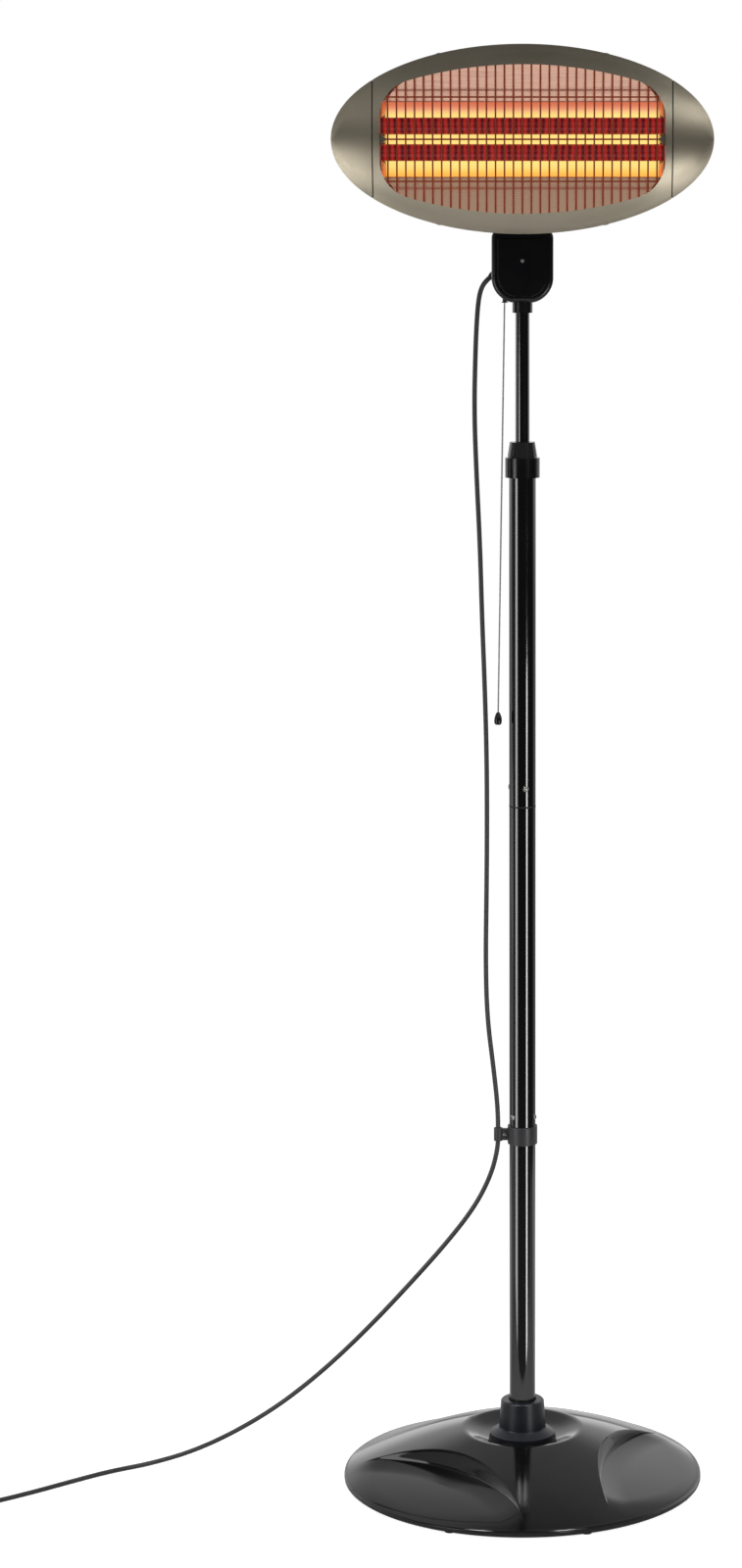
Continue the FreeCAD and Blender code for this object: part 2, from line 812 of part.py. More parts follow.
grip_bore = bush_diameter + s.grip_gap * 2
grip_shoulder = z_grip + s.grip_height
grip_blank = revolve(
    "grip_blank",
    [
        (grip_bore / 2, z_grip),
        (s.grip_diameter / 2, z_grip),
        (s.grip_diameter / 2, grip_shoulder),
        (s.cone_foot_diameter / 2, grip_shoulder),
        (s.cone_top_diameter / 2, z_grip_top),
        (slide_bore / 2 + s.slide_gap, z_grip_top),
        (slide_bore / 2 + s.slide_gap, z_grip_top - s.grip_lip),
        (s.collet_top_diameter / 2 + s.grip_gap, z_grip_top - s.grip_lip),
        (s.collet_foot_diameter / 2 + s.grip_gap, bush_top + s.grip_gap),
        (grip_bore / 2, bush_top + s.grip_gap),
    ],
)
flutes = []
cone_lean = math.degrees(
    math.atan2((s.cone_foot_diameter.value - s.cone_top_diameter.value) / 2, s.cone_height.value)
)
for index, azimuth in enumerate(around(FLUTE_COUNT, s.flute_first_azimuth)):
    reach = s.cone_foot_diameter / 2 + s.flute_diameter / 2 - s.flute_depth
    lean = Rotation(Vector(0, 1, 0), -cone_lean)
    turn = Rotation(Vector(0, 0, 1), azimuth.value).multiply(lean)
    spot = (reach * cosine(azimuth), reach * sine(azimuth), grip_shoulder + s.flute_start)
    flutes.append(rod(f"flute_{index}", s.flute_diameter, s.cone_height * 1.5, spot, turn))
keep("clamp_grip", cut("grip_fluted", grip_blank, *flutes))

# Riser: the inner tube that slides in the pole, with a glide at its foot.
riser_top = z_ferrule + s.riser_in_neck
riser_low = riser_top - s.riser_length
riser_bore = s.riser_diameter - s.riser_wall * 2
keep("inner_tube", sleeve("riser_tube", s.riser_diameter, riser_bore, riser_low, riser_top))
glide_diameter = pole_bore - s.slide_gap * 2
keep(
    "glide_bush",
    sleeve("glide", glide_diameter, s.riser_diameter, riser_low, riser_low + s.glide_height),
)

# Neck: a moulded clamshell on the riser, with the hinge knuckle on top.
keep(
    "neck_ferrule",
    revolve(
        "ferrule",
        [
            (s.riser_diameter / 2, z_ferrule),
            (s.ferrule_diameter / 2, z_ferrule),
            (s.ferrule_diameter / 2, z_neck),
            (s.riser_diameter / 2, z_neck),
        ],
    ),
)


def neck_corners(inset, floor):
    low = s.neck_bottom_width / 2
    wide = s.neck_width / 2 - inset
    corner_top = z_neck + s.neck_corner_rise
    rise = corner_top - floor
    run = wide - low
    bend = (run * run + rise * rise) / (run * 2)
    top = z_neck + s.neck_height - inset
    shoulder = s.neck_shoulder - inset
    return [
        (-low, floor),
        (low, floor, bend),
        (wide, corner_top),
        (wide, top - shoulder, shoulder),
        (wide - shoulder, top),
        (shoulder - wide, top, shoulder),
        (-wide, top - shoulder),
        (-wide, corner_top, bend),
    ]


neck_half = s.neck_depth / 2
gland_slope = math.radians(s.gland_tilt.value)
gland_axis = Vector(-math.cos(gland_slope), 0, -math.sin(gland_slope))
gland_turn = Rotation(Vector(0, 0, 1), gland_axis)
gland_dx = -cosine(s.gland_tilt)
gland_dz = -sine(s.gland_tilt)
gland_spot = (s.gland_x, zero, z_ferrule + s.gland_rise)
boss_spots = [
    (-s.boss_offset, z_neck + s.boss_top_rise),
    (s.boss_offset, z_neck + s.boss_top_rise),
    (s.boss_offset, z_neck + s.boss_low_rise),
]
knuckle = rod(
    "knuckle",
    s.knuckle_diameter,
    s.knuckle_width,
    (-s.knuckle_width / 2, zero, z_pivot),
    ALONG_X,
)
knuckle_web = block(
    "knuckle_web",
    (-s.knuckle_width / 2, -s.knuckle_diameter / 2, z_neck + s.neck_height - s.neck_wall),
    (s.knuckle_width / 2, s.knuckle_diameter / 2, z_pivot),
)
knuckle_solid = fuse("knuckle_solid", knuckle, knuckle_web)
neck_drills = [
    rod("neck_pivot_drill", s.pivot_hole, s.room, (-s.room / 2, zero, z_pivot), ALONG_X),
    rod("neck_riser_drill", s.riser_diameter, s.neck_height / 2, (zero, zero, z_ferrule)),
    rod("neck_gland_drill", s.gland_hole, s.neck_width / 2, gland_spot, gland_turn),
    rod("neck_pull_drill", s.pull_hole, s.neck_height / 4, (s.pull_x, s.pull_y, z_ferrule)),
]
half_rooms = {
    "front": block(
        "front_room",
        (-s.room / 2, -s.room / 2, z_ferrule),
        (s.room / 2, zero, z_head),
    ),
    "rear": block(
        "rear_room",
        (-s.room / 2, zero, z_ferrule),
        (s.room / 2, s.room / 2, z_head),
    ),
}


def round_face_edges(body, feature, level, radius):
    """Round the edges of a padded body's outer face, found by their Y level."""
    doc.recompute()
    names = []
    for number, edge in enumerate(feature.Shape.Edges, start=1):
        box = edge.BoundBox
        if abs(box.YMin - level) < 1e-4 and abs(box.YMax - level) < 1e-4:
            names.append(f"Edge{number}")
    fillet = body.newObject("PartDesign::Fillet", f"{body.Name}_round")
    fillet.Base = (feature, names)
    bind(fillet, Radius=radius)
    return fillet


for side, sign in (("front", -1.0), ("rear", 1.0)):
    cover = pad(f"{side}_cover", "XZ_Plane", neck_corners(zero, z_neck), neck_half)
    cover_pad = cover.Tip
    cover_pad.Reversed = sign > 0
    round_face_edges(cover, cover_pad, sign * neck_half.value, s.neck_edge_round)
    cavity_corners = neck_corners(s.neck_wall, z_neck + s.neck_floor)
    cavity = pad(f"{side}_cavity", "XZ_Plane", cavity_corners, neck_half - s.neck_wall)
    cavity.Tip.Reversed = sign > 0
    hollow = cut(f"{side}_hollow", cover, cavity)
    bosses = []
    drills = list(neck_drills)
    for index, (x, z) in enumerate(boss_spots):
        start = -neck_half + s.neck_wall / 2 if sign < 0 else zero
        length = neck_half - s.neck_wall / 2
        bosses.append(rod(f"{side}_boss_{index}", s.boss_diameter, length, (x, start, z), ALONG_Y))
        inner = neck_half - s.case_screw_length
        drills.append(
            rod(f"{side}_screw_drill_{index}", s.case_screw_hole, s.room, (x, inner, z), ALONG_Y)
        )
        seat = neck_half - s.case_head_height
        drills.append(
            rod(f"{side}_head_drill_{index}", s.case_screw_head * 1.1, s.room, (x, seat, z), ALONG_Y)
        )
    half_knuckle = common(f"{side}_knuckle", knuckle_solid, half_rooms[side])
    solid = fuse(f"{side}_solid", hollow, half_knuckle, *bosses)
    keep(f"neck_{side}_cover", cut(f"{side}_drilled", solid, *drills))

case_screws = []
for index, (x, z) in enumerate(boss_spots):
    inner = neck_half - s.case_screw_length
    length = s.case_screw_length - s.case_head_height
    shank = rod(f"case_shank_{index}", s.case_screw_diameter, length, (x, inner, z), ALONG_Y)
    seat = neck_half - s.case_head_height
    head = rod(f"case_head_{index}", s.case_screw_head, s.case_head_height, (x, seat, z), ALONG_Y)
    case_screws.append(fuse(f"case_screw_{index}", shank, head))
keep("neck_screws", group("case_screw_group", case_screws))

gland = revolve(
    "gland",
    [
        (zero, -s.gland_inner),
        (s.gland_diameter / 2 * 1.15, -s.gland_inner),
        (s.gland_diameter / 2 * 1.15, zero),
        (s.gland_diameter / 2, zero),
        (s.gland_diameter / 2, s.gland_outer / 2),
        (s.gland_tip_diameter / 2, s.gland_outer),
        (zero, s.gland_outer),
    ],
)
keep("cord_gland", place(gland, gland_spot, gland_turn))

pull_bush = revolve(
    "pull_bush_ring",
    [
        (s.pull_bush_bore / 2, z_ferrule + s.pull_bush_low),
        (s.pull_bush_flange / 2, z_ferrule + s.pull_bush_low),
        (s.pull_bush_flange / 2, z_ferrule + s.pull_bush_low + s.pull_bush_lip),
        (s.pull_bush_diameter / 2, z_ferrule + s.pull_bush_low + s.pull_bush_lip),
        (s.pull_bush_diameter / 2, z_ferrule + s.pull_bush_high),
        (s.pull_bush_bore / 2, z_ferrule + s.pull_bush_high),
    ],
)
keep("pull_bush", place(pull_bush, (s.pull_x, s.pull_y, zero)))
pull_top = z_ferrule + s.pull_cord_top_rise
pull_foot_x = s.pull_x - s.pull_cord_length * sine(s.pull_lean)
pull_low = pull_top - s.pull_cord_length * cosine(s.pull_lean)
pull_turn = Rotation(Vector(0, 1, 0), s.pull_lean.value)
pull_foot = (pull_foot_x, s.pull_y, pull_low)
keep("pull_cord", rod("pull_line", s.pull_cord_diameter, s.pull_cord_length, pull_foot, pull_turn))
bell_foot = s.bell_diameter / 2
bell = revolve(
    "bell",
    [
        (zero, -s.bell_height),
        (bell_foot - s.bell_foot_round, -s.bell_height, s.bell_foot_round),
        (bell_foot, -s.bell_height + s.bell_foot_round, s.bell_height * 1.2),
        (s.bell_neck_diameter / 2, zero),
        (zero, zero),
    ],
)
keep("pull_bell", place(bell, pull_foot, pull_turn))
switch_low = pull_top + s.switch_gap
switch_front = -neck_half + s.neck_wall
keep(
    "pull_switch",
    block(
        "switch",
        (s.pull_x - s.switch_width / 2, switch_front, switch_low),
        (s.pull_x + s.switch_width / 2, switch_front + s.switch_depth, switch_low + s.switch_height),
    ),
)

# Tilt hinge: a bolt through the knuckle and the two ears of the head's bracket.
ear_in = s.knuckle_width / 2 + s.ear_gap
ear_out = ear_in + s.ear_sheet
pivot_end = ear_out + s.ear_gap
pivot_shank = rod("pivot_shank", s.pivot_diameter, pivot_end * 2, (-pivot_end, zero, z_pivot), ALONG_X)
pivot_head = rod(
    "pivot_head",
    s.pivot_head_diameter,
    s.pivot_head_height,
    (-pivot_end - s.pivot_head_height, zero, z_pivot),
    ALONG_X,
)
keep("pivot_bolt", fuse("pivot_bolt_solid", pivot_shank, pivot_head))
pivot_nut = doc.addObject("Part::Prism", "pivot_nut_solid")
pivot_nut.Polygon = 6
bind(pivot_nut, Circumradius=s.pivot_head_diameter / 2, Height=s.pivot_head_height)
keep("pivot_nut", place(pivot_nut, (pivot_end, zero, z_pivot), ALONG_X))

rim_y = -s.rim_forward
shell_low = rim_y + s.bezel_skirt
flat_y = shell_low + s.shell_flat_depth
ear_bottom = s.ear_diameter / 2
ear_corners = [
    (-ear_bottom, z_pivot, ear_bottom * 1.03),
    (ear_bottom, z_pivot),
    (ear_bottom, z_pivot + s.bracket_slope_low),
    (flat_y + s.ear_sheet, z_pivot + s.bracket_slope_high),
    (flat_y + s.ear_sheet, z_pivot + s.bracket_plate_high),
    (flat_y, z_pivot + s.bracket_plate_high),
    (flat_y, z_pivot + s.bracket_plate_low),
]
left_ear = pad("left_ear", "YZ_Plane", ear_corners, s.ear_sheet, -ear_out)
right_ear = pad("right_ear", "YZ_Plane", ear_corners, s.ear_sheet, ear_in)
bracket_back = block(
    "bracket_back",
    (-ear_out, flat_y, z_pivot + s.bracket_slope_high),
    (ear_out, flat_y + s.ear_sheet, z_pivot + s.bracket_plate_high),
)
bracket_drill = rod("bracket_drill", s.pivot_hole, s.room, (-s.room / 2, zero, z_pivot), ALONG_X)
rivet_drills = []
rivets = []
for index, (sign, rise) in enumerate(
    ((-1.0, s.rivet_low), (1.0, s.rivet_low), (-1.0, s.rivet_high), (1.0, s.rivet_high))
):
    x = s.rivet_x * sign
    z = z_pivot + rise
    inner = flat_y - s.rivet_inside
    seat = flat_y + s.ear_sheet
    drill_length = s.rivet_inside + s.ear_sheet + s.drill_overrun
    rivet_drills.append(rod(f"rivet_drill_{index}", s.rivet_hole, drill_length, (x, inner, z), ALONG_Y))
    length = s.rivet_inside + s.ear_sheet
    shank = rod(f"rivet_shank_{index}", s.rivet_diameter, length, (x, inner, z), ALONG_Y)
    head = rod(f"rivet_head_{index}", s.rivet_head, s.rivet_head_height, (x, seat, z), ALONG_Y)
    rivets.append(fuse(f"rivet_{index}", shank, head))
bracket_solid = fuse("bracket_solid", left_ear, right_ear, bracket_back)
keep("head_bracket", cut("bracket_drilled", bracket_solid, bracket_drill, *rivet_drills))
keep("bracket_rivets", group("rivets", rivets))


# Head: lens-shaped bezel in three pieces in front, a black dished shell behind.
def oval_prism(name, inset, low, length):
    """An upright oval prism along Y, from its front face backwards."""
    ring = doc.addObject("Part::Ellipse", f"{name}_oval")
    bind(ring, MajorRadius=s.head_width / 2 - inset, MinorRadius=s.head_height / 2 - inset)
    place(ring, (zero, low, z_head), Rotation(Vector(1, 0, 0), 90))
    item = doc.addObject("Part::Extrusion", name)
    item.Base = ring
    item.DirMode = "Custom"
    item.Dir = Vector(0, 1, 0)
    item.Solid = True
    bind(item, LengthFwd=length)
    return item


def lens(name, inset, rim, bulge, facing):
    """The ellipsoid whose cap of this bulge stands on the oval rim, facing -1 or 1 along Y."""
    deep = bulge / (1.0 - RIM_OFFSET_SHARE)
    item = doc.addObject("Part::Ellipsoid", name)
    item.Angle1 = -90
    item.Angle2 = 90
    bind(
        item,
        Radius1=(s.head_height / 2 - inset) / RIM_SHARE,
        Radius2=(s.head_width / 2 - inset) / RIM_SHARE,
        Radius3=deep,
    )
    return place(item, (zero, rim - deep * RIM_OFFSET_SHARE * facing, z_head))


def room_between(name, low, high):
    """A box across the whole head between two Y levels."""
    return block(name, (-s.room / 2, low, z_head - s.room / 2), (s.room / 2, high, z_head + s.room / 2))


window_wide = s.head_width / 2 - s.window_end_margin
window_high = s.head_height / 2 - s.window_edge_margin
window_side = window_high - s.window_crown


def window_corners(margin):
    """The oval window: straight sides, tight corners and bowed top and bottom, each tangent."""
    wide = window_wide + margin
    high = window_high + margin
    corner = s.window_corner + margin
    side = window_side
    reach = wide - corner
    drop = high - side
    bow = (reach * reach + drop * drop - corner * corner) / ((drop - corner) * 2)
    share = bow / (bow - corner)
    x = reach * share
    z = (high - bow) + (side - high + bow) * share
    return [
        (wide, z_head - side),
        (wide, z_head + side, corner),
        (x, z_head + z, bow),
        (-x, z_head + z, corner),
        (-wide, z_head + side),
        (-wide, z_head - side, corner),
        (-x, z_head - z, bow),
        (x, z_head - z, corner),
    ]


front_room = room_between("bezel_room", rim_y - s.room / 2, rim_y)
bezel_cap = common("bezel_cap", lens("bezel_lens", zero, rim_y, s.bezel_bulge, -1.0), front_room)
bezel_out = fuse("bezel_out", bezel_cap, oval_prism("bezel_skirt_out", zero, rim_y, s.bezel_skirt))
under_lens = lens("bezel_under_lens", zero, rim_y + s.bezel_sheet, s.bezel_bulge, -1.0)
under_cap = common("bezel_under_cap", under_lens, front_room)
skirt_in = oval_prism("bezel_skirt_in", s.bezel_sheet, rim_y, s.bezel_skirt * 2)
bezel_in = fuse("bezel_in", under_cap, skirt_in)
window = pad("window", "XZ_Plane", window_corners(zero), s.room / 2)

rim_screw_x = s.head_width / 2 - s.rim_screw_inset
across_share = rim_screw_x / (s.head_width / 2)
up_share = root(1.0 - across_share * across_share)
flatness = s.head_height.value / s.head_width.value
rim_slope = math.degrees(math.atan(flatness * across_share.value / up_share.value))
rim_screw_z = s.head_height / 2 * up_share
rim_screw_y = rim_y + s.bezel_skirt * 0.6
rim_drills = []
rim_screws = []
for index, (across, up) in enumerate(((-1.0, -1.0), (1.0, -1.0), (-1.0, 1.0), (1.0, 1.0))):
    lean = Vector(across * math.sin(math.radians(rim_slope)), 0, up * math.cos(math.radians(rim_slope)))
    turn = Rotation(Vector(0, 0, 1), lean)
    inner = s.rim_screw_length
    spot = (rim_screw_x * across, rim_screw_y, z_head + rim_screw_z * up)
    start = (spot[0] - inner * lean.x, rim_screw_y, spot[2] - inner * lean.z)
    rim_drills.append(
        rod(f"rim_drill_{index}", s.rim_screw_hole, inner + s.drill_overrun, start, turn)
    )
    shank = rod(f"rim_shank_{index}", s.rim_screw_diameter, inner, start, turn)
    head = rod(f"rim_head_{index}", s.rim_screw_head, s.rim_head_height, spot, turn)
    rim_screws.append(fuse(f"rim_screw_{index}", shank, head))
keep("bezel_screws", group("rim_screw_group", rim_screws))

bezel_shell = cut("bezel_shell", bezel_out, bezel_in)
bezel_open = cut("bezel_open", bezel_shell, window, *rim_drills)
seam = s.head_width / 2 - s.end_cap_length
for name, low, high in (
    ("bezel", -seam, seam),
    ("left_end_cap", -s.room / 2, -seam - s.end_seam_gap),
    ("right_end_cap", seam + s.end_seam_gap, s.room / 2),
):
    slab = block(
        f"{name}_room",
        (low, -s.room / 2, z_head - s.room / 2),
        (high, s.room / 2, z_head + s.room / 2),
    )
    keep(name, common(f"{name}_piece", bezel_open, slab))

shell_inset = s.bezel_sheet + s.shell_gap
shell_front = shell_low - s.shell_tuck
flat_room = room_between("shell_room", shell_low, flat_y)
shell_cap = common("shell_cap", lens("shell_lens", shell_inset, shell_low, s.shell_depth, 1.0), flat_room)
shell_out = fuse("shell_out", shell_cap, oval_prism("shell_rim", shell_inset, shell_front, s.shell_tuck))
inside_room = room_between("shell_inside_room", shell_low, flat_y - s.bezel_sheet)
inside_lens = lens("shell_inside_lens", shell_inset, shell_low - s.bezel_sheet, s.shell_depth, 1.0)
inside_cap = common("shell_inside_cap", inside_lens, inside_room)
inside_rim = oval_prism(
    "shell_inside_rim", shell_inset + s.shell_rim_wall, shell_front - s.shell_tuck, s.shell_tuck * 2
)
shell_in = fuse("shell_in", inside_cap, inside_rim)
vents = []
for row in range(VENT_ROWS):
    for column in range(VENT_COLUMNS):
        x = s.vent_pitch_x * (column - (VENT_COLUMNS - 1) / 2)
        z = z_head + s.vent_rise + s.vent_pitch_z * row
        vents.append(
            block(
                f"vent_{row}_{column}",
                (x - s.vent_width / 2, flat_y - s.drill_overrun, z),
                (x + s.vent_width / 2, flat_y + s.drill_overrun, z + s.vent_height),
            )
        )
shell_blank = cut("shell_blank", shell_out, shell_in)
keep("back_shell", cut("shell_drilled", shell_blank, *vents, *rivet_drills, *rim_drills))

# Reflector: a bright sheet with a parabolic trough behind each lamp and flat wings.
lamp_y = -s.lamp_setback.value
focal = s.focal_length.value
half_gap = s.lamp_spacing.value / 2
reach = s.trough_reach.value
z_mid = z_head.value


def trough_point(side, offset):
    """A point on a trough, at an offset outward from its lamp's height."""
    return Vector(0, lamp_y + focal - offset * offset / (4 * focal), z_mid + side * (half_gap + offset))


def trough_curve(side):
    knots = 9
    points = []
    for index in range(knots):
        points.append(trough_point(side, -half_gap + (reach + half_gap) * index / (knots - 1)))
    curve = Part.BSplineCurve()
    curve.interpolate(points)
    return curve.toShape()


wing_rise = window_high.value + s.wing_overlap.value
wing_low = Vector(0, -s.wing_edge_setback.value, z_mid - wing_rise)
wing_high = Vector(0, -s.wing_edge_setback.value, z_mid + wing_rise)
profile_edges = [
    Part.LineSegment(wing_low, trough_point(-1, reach)).toShape(),
    trough_curve(-1),
    trough_curve(1),
    Part.LineSegment(trough_point(1, reach), wing_high).toShape(),
]
sheet_shift = Vector(0, s.reflector_sheet.value, 0)
end_plate_at = window_wide - s.end_plate_inset
half_length = end_plate_at.value - s.reflector_sheet.value / 4
skins = []
for edge in profile_edges:
    strip = edge.extrude(sheet_shift)
    strip.translate(Vector(-half_length, 0, 0))
    skins.append(strip.extrude(Vector(half_length * 2, 0, 0)))
reflector_blank = doc.addObject("Part::Feature", "reflector_blank")
reflector_blank.Shape = skins[0].fuse(skins[1:]).removeSplitter()
reflector_outline = pad("reflector_outline", "XZ_Plane", window_corners(s.reflector_margin), s.room / 4)
keep("reflector", common("reflector_trim", reflector_blank, reflector_outline))

# Lamps: two quartz tubes with an element inside, in ceramic ends on sheet brackets.
lamp_levels = {"upper": z_head + s.lamp_spacing / 2, "lower": z_head - s.lamp_spacing / 2}
plate_holes = []
holders = []
for level, z in lamp_levels.items():
    half = window_wide
    start = (-half, -s.lamp_setback, z)
    glass = rod(f"{level}_glass", s.lamp_diameter, half * 2, start, ALONG_X)
    inside = s.lamp_diameter - s.lamp_wall * 2
    bore = rod(f"{level}_glass_bore", inside, half * 2, start, ALONG_X)
    keep(f"{level}_quartz_tube", cut(f"{level}_lamp", glass, bore))
    core = half + s.holder_socket
    element_start = (-core, -s.lamp_setback, z)
    keep(
        f"{level}_element",
        rod(f"{level}_core", s.element_diameter, core * 2, element_start, ALONG_X),
    )
    hole = s.lamp_diameter + s.lamp_hole_gap * 2
    hole_start = (-s.room / 2, -s.lamp_setback, z)
    plate_holes.append(rod(f"{level}_plate_hole", hole, s.room, hole_start, ALONG_X))
    for side in (-1.0, 1.0):
        name = f"{level}_holder_{'left' if side < 0 else 'right'}"
        inner = end_plate_at + s.end_plate_sheet
        base = (inner if side > 0 else -inner - s.holder_length, -s.lamp_setback, z)
        body = rod(f"{name}_body", s.holder_diameter, s.holder_length, base, ALONG_X)
        socket = s.lamp_diameter + s.holder_bore_gap * 2
        socket_rod = rod(f"{name}_socket", socket, half * 2, start, ALONG_X)
        element = s.element_diameter + s.holder_bore_gap * 2
        element_rod = rod(f"{name}_pin", element, core * 2, element_start, ALONG_X)
        holders.append(cut(name, body, socket_rod, element_rod))
keep("ceramic_holders", group("holders", holders))

plates = []
for side in (-1.0, 1.0):
    name = "left_plate" if side < 0 else "right_plate"
    lift = end_plate_at if side > 0 else -end_plate_at - s.end_plate_sheet
    plate = pad(
        name,
        "YZ_Plane",
        [
            (-s.end_plate_front, z_head - s.end_plate_reach),
            (-s.lamp_setback, z_head - s.end_plate_reach),
            (-s.end_plate_back, z_head - s.end_plate_back_reach),
            (-s.end_plate_back, z_head + s.end_plate_back_reach),
            (-s.lamp_setback, z_head + s.end_plate_reach),
            (-s.end_plate_front, z_head + s.end_plate_reach),
        ],
        s.end_plate_sheet,
        lift,
    )
    plates.append(cut(f"{name}_drilled", plate, *plate_holes))
keep("lamp_brackets", group("plate_pair", plates))
terminal_back = flat_y - s.bezel_sheet
keep(
    "terminal_block",
    block(
        "terminals",
        (s.terminal_x, terminal_back - s.terminal_depth, z_head - s.terminal_height / 2),
        (s.terminal_x + s.terminal_width, terminal_back, z_head + s.terminal_height / 2),
    ),
)


# Guard: upright wires welded to three cross bars, each cut to the window's outline.
def window_half_height(x):
    """Half the window's height at a distance from its middle."""
    wide = window_wide.value
    high = window_high.value
    corner = s.window_corner.value
    side = window_side.value
    corner_x = wide - corner
    drop = high - side
    bow = (corner_x**2 + drop**2 - corner**2) / (2 * (drop - corner))
    join = corner_x * bow / (bow - corner)
    if abs(x) < join:
        return high - bow + math.sqrt(bow**2 - x**2)
    return side + math.sqrt(max(corner**2 - (abs(x) - corner_x) ** 2, 0.0))


def wire_rod(start, end, radius):
    return Part.makeCylinder(radius, (end - start).Length, start, end - start)


wire_radius = s.guard_wire.value / 2
guard_y = -s.guard_setback.value
guard_half = window_wide.value - s.guard_side_gap.value
wires = []
wire_count = int(2 * guard_half / s.guard_pitch.value)
for index in range(wire_count):
    x = (index - (wire_count - 1) / 2) * s.guard_pitch.value
    half = window_half_height(x) + s.guard_overlap.value
    wires.append(wire_rod(Vector(x, guard_y, z_mid - half), Vector(x, guard_y, z_mid + half), wire_radius))
for rise in (-s.guard_bar_rise.value, 0.0, s.guard_bar_rise.value):
    bar_y = guard_y + s.guard_wire.value
    left = Vector(-guard_half, bar_y, z_mid + rise)
    right = Vector(guard_half, bar_y, z_mid + rise)
    wires.append(wire_rod(left, right, wire_radius))
guard = doc.addObject("Part::Feature", "guard")
guard.Shape = Part.Compound(wires)
keep("wire_guard", guard)


# Mains lead: from the gland to the clip, down to the floor and out to a tied coil.
def arc_edge(start, bend, end):
    """The arc tangent to start-bend and bend-end at its two ends."""
    middle = (start + end) * 0.5
    half = (end - start).Length / 2
    rise = (bend - middle).Length
    if half < 1e-9 or rise < 1e-6:
        return Part.LineSegment(start, end).toShape()
    quarter = math.atan2(rise, half) / 2
    crown = middle + (bend - middle).normalize() * (half * math.tan(quarter))
    return Part.Arc(start, crown, end).toShape()


def tube_on(edges, radius):
    path = Part.Wire(edges)
    first = edges[0]
    heading = first.tangentAt(first.FirstParameter)
    circle = Part.Circle(first.valueAt(first.FirstParameter), heading, radius)
    section = Part.Wire([circle.toShape()])
    tube = path.makePipeShell([section], True, False)
    expected = math.pi * radius * radius * path.Length
    return tube, path.Length, tube.Volume / expected


def cord_tube(name, points, radius):
    """A tube on straight runs joined by the largest tangent arcs that fit."""
    points = [Vector(*point) for point in points]
    edges = []
    radii = []
    last = points[0]
    for before, here, after in zip(points, points[1:], points[2:]):
        into = (here - before).normalize()
        out = (after - here).normalize()
        turn = into.getAngle(out)
        trim = 0.45 * min((here - before).Length, (after - here).Length)
        radii.append(trim / math.tan(turn / 2))
        start = here - into * trim
        end = here + out * trim
        edges.append(Part.LineSegment(last, start).toShape())
        edges.append(arc_edge(start, here, end))
        last = end
    edges.append(Part.LineSegment(last, points[-1]).toShape())
    tube, length, share = tube_on(edges, radius)
    item = doc.addObject("Part::Feature", name)
    item.Shape = tube
    print(f"{name}: length {length:.0f}, least radius {min(radii):.1f}, volume share {share:.4f}")
    return item


cord_radius = s.cord_diameter.value / 2
gland_tip = Vector(
    s.gland_x.value + gland_axis.x * s.gland_outer.value,
    0,
    z_ferrule.value + s.gland_rise.value + gland_axis.z * s.gland_outer.value,
)
clip_spot = Vector(-s.loop_offset.value, 0, z_low_seam.value)
upper_route = [
    tuple(gland_tip),
    tuple(gland_tip + gland_axis * s.gland_run.value),
    (-55.3, 0, 1650.5),
    (-58.4, 0, 1636),
    (-60.6, 0, 1611),
    (-62.6, 0, 1568),
    (-64.4, 0, 1490),
    (-61.5, 0, 1405),
    (-57, 0, 1310),
    (-54.5, 0, 1215),
    (-51, 0, 1120),
    (-48.5, 0, 1025),
    (-48.2, 0, 930),
    (-49, 0, 835),
    (-50.5, 0, 740),
    (-48.5, 0, 660),
    (-40, 0, 590),
    (-34.2, 0, 535),
    tuple(clip_spot),
]
keep("cord_upper", cord_tube("lead_upper", upper_route, cord_radius))

coil_centre = Vector(s.coil_x.value, s.coil_y.value, 0)
coil_level = cord_radius + s.floor_gap.value
coil_heading = Vector(-0.76, -0.65, 0).normalize()
coil_pitch = s.coil_pitch.value
coil_outer = s.coil_outer_radius.value
coil_start_angle = math.atan2(-coil_heading.x, coil_heading.y)
quarters_per_layer = 5


def coil_point(quarter):
    """Centre of the lead after some quarter turns: in on one layer, out on the next."""
    total = quarters_per_layer * 2 + 2
    inward = min(quarter, total - quarter, quarters_per_layer)
    radius = coil_outer - coil_pitch * inward / 4
    climb = min(max((quarter - quarters_per_layer) / 2, 0.0), 1.0)
    level = coil_level + coil_pitch * climb
    angle = coil_start_angle + math.pi / 2 * quarter
    return coil_centre + Vector(math.cos(angle), math.sin(angle), 0) * radius + Vector(0, 0, level)


def coil_tangent(quarter):
    step = 1e-3
    return (coil_point(quarter + step) - coil_point(quarter - step)).normalize()


def biarc(start, heading, end, last_heading):
    """Two arcs, tangent to each other and to a heading at each end."""
    chord = end - start
    both = heading + last_heading
    square = 2 * (heading.dot(last_heading) - 1)
    linear = -2 * chord.dot(both)
    constant = chord.dot(chord)
    reach = (-linear - math.sqrt(linear * linear - 4 * square * constant)) / (2 * square)
    first_bend = start + heading * reach
    last_bend = end - last_heading * reach
    joint = (first_bend + last_bend) * 0.5
    return [arc_edge(start, first_bend, joint), arc_edge(joint, last_bend, end)]


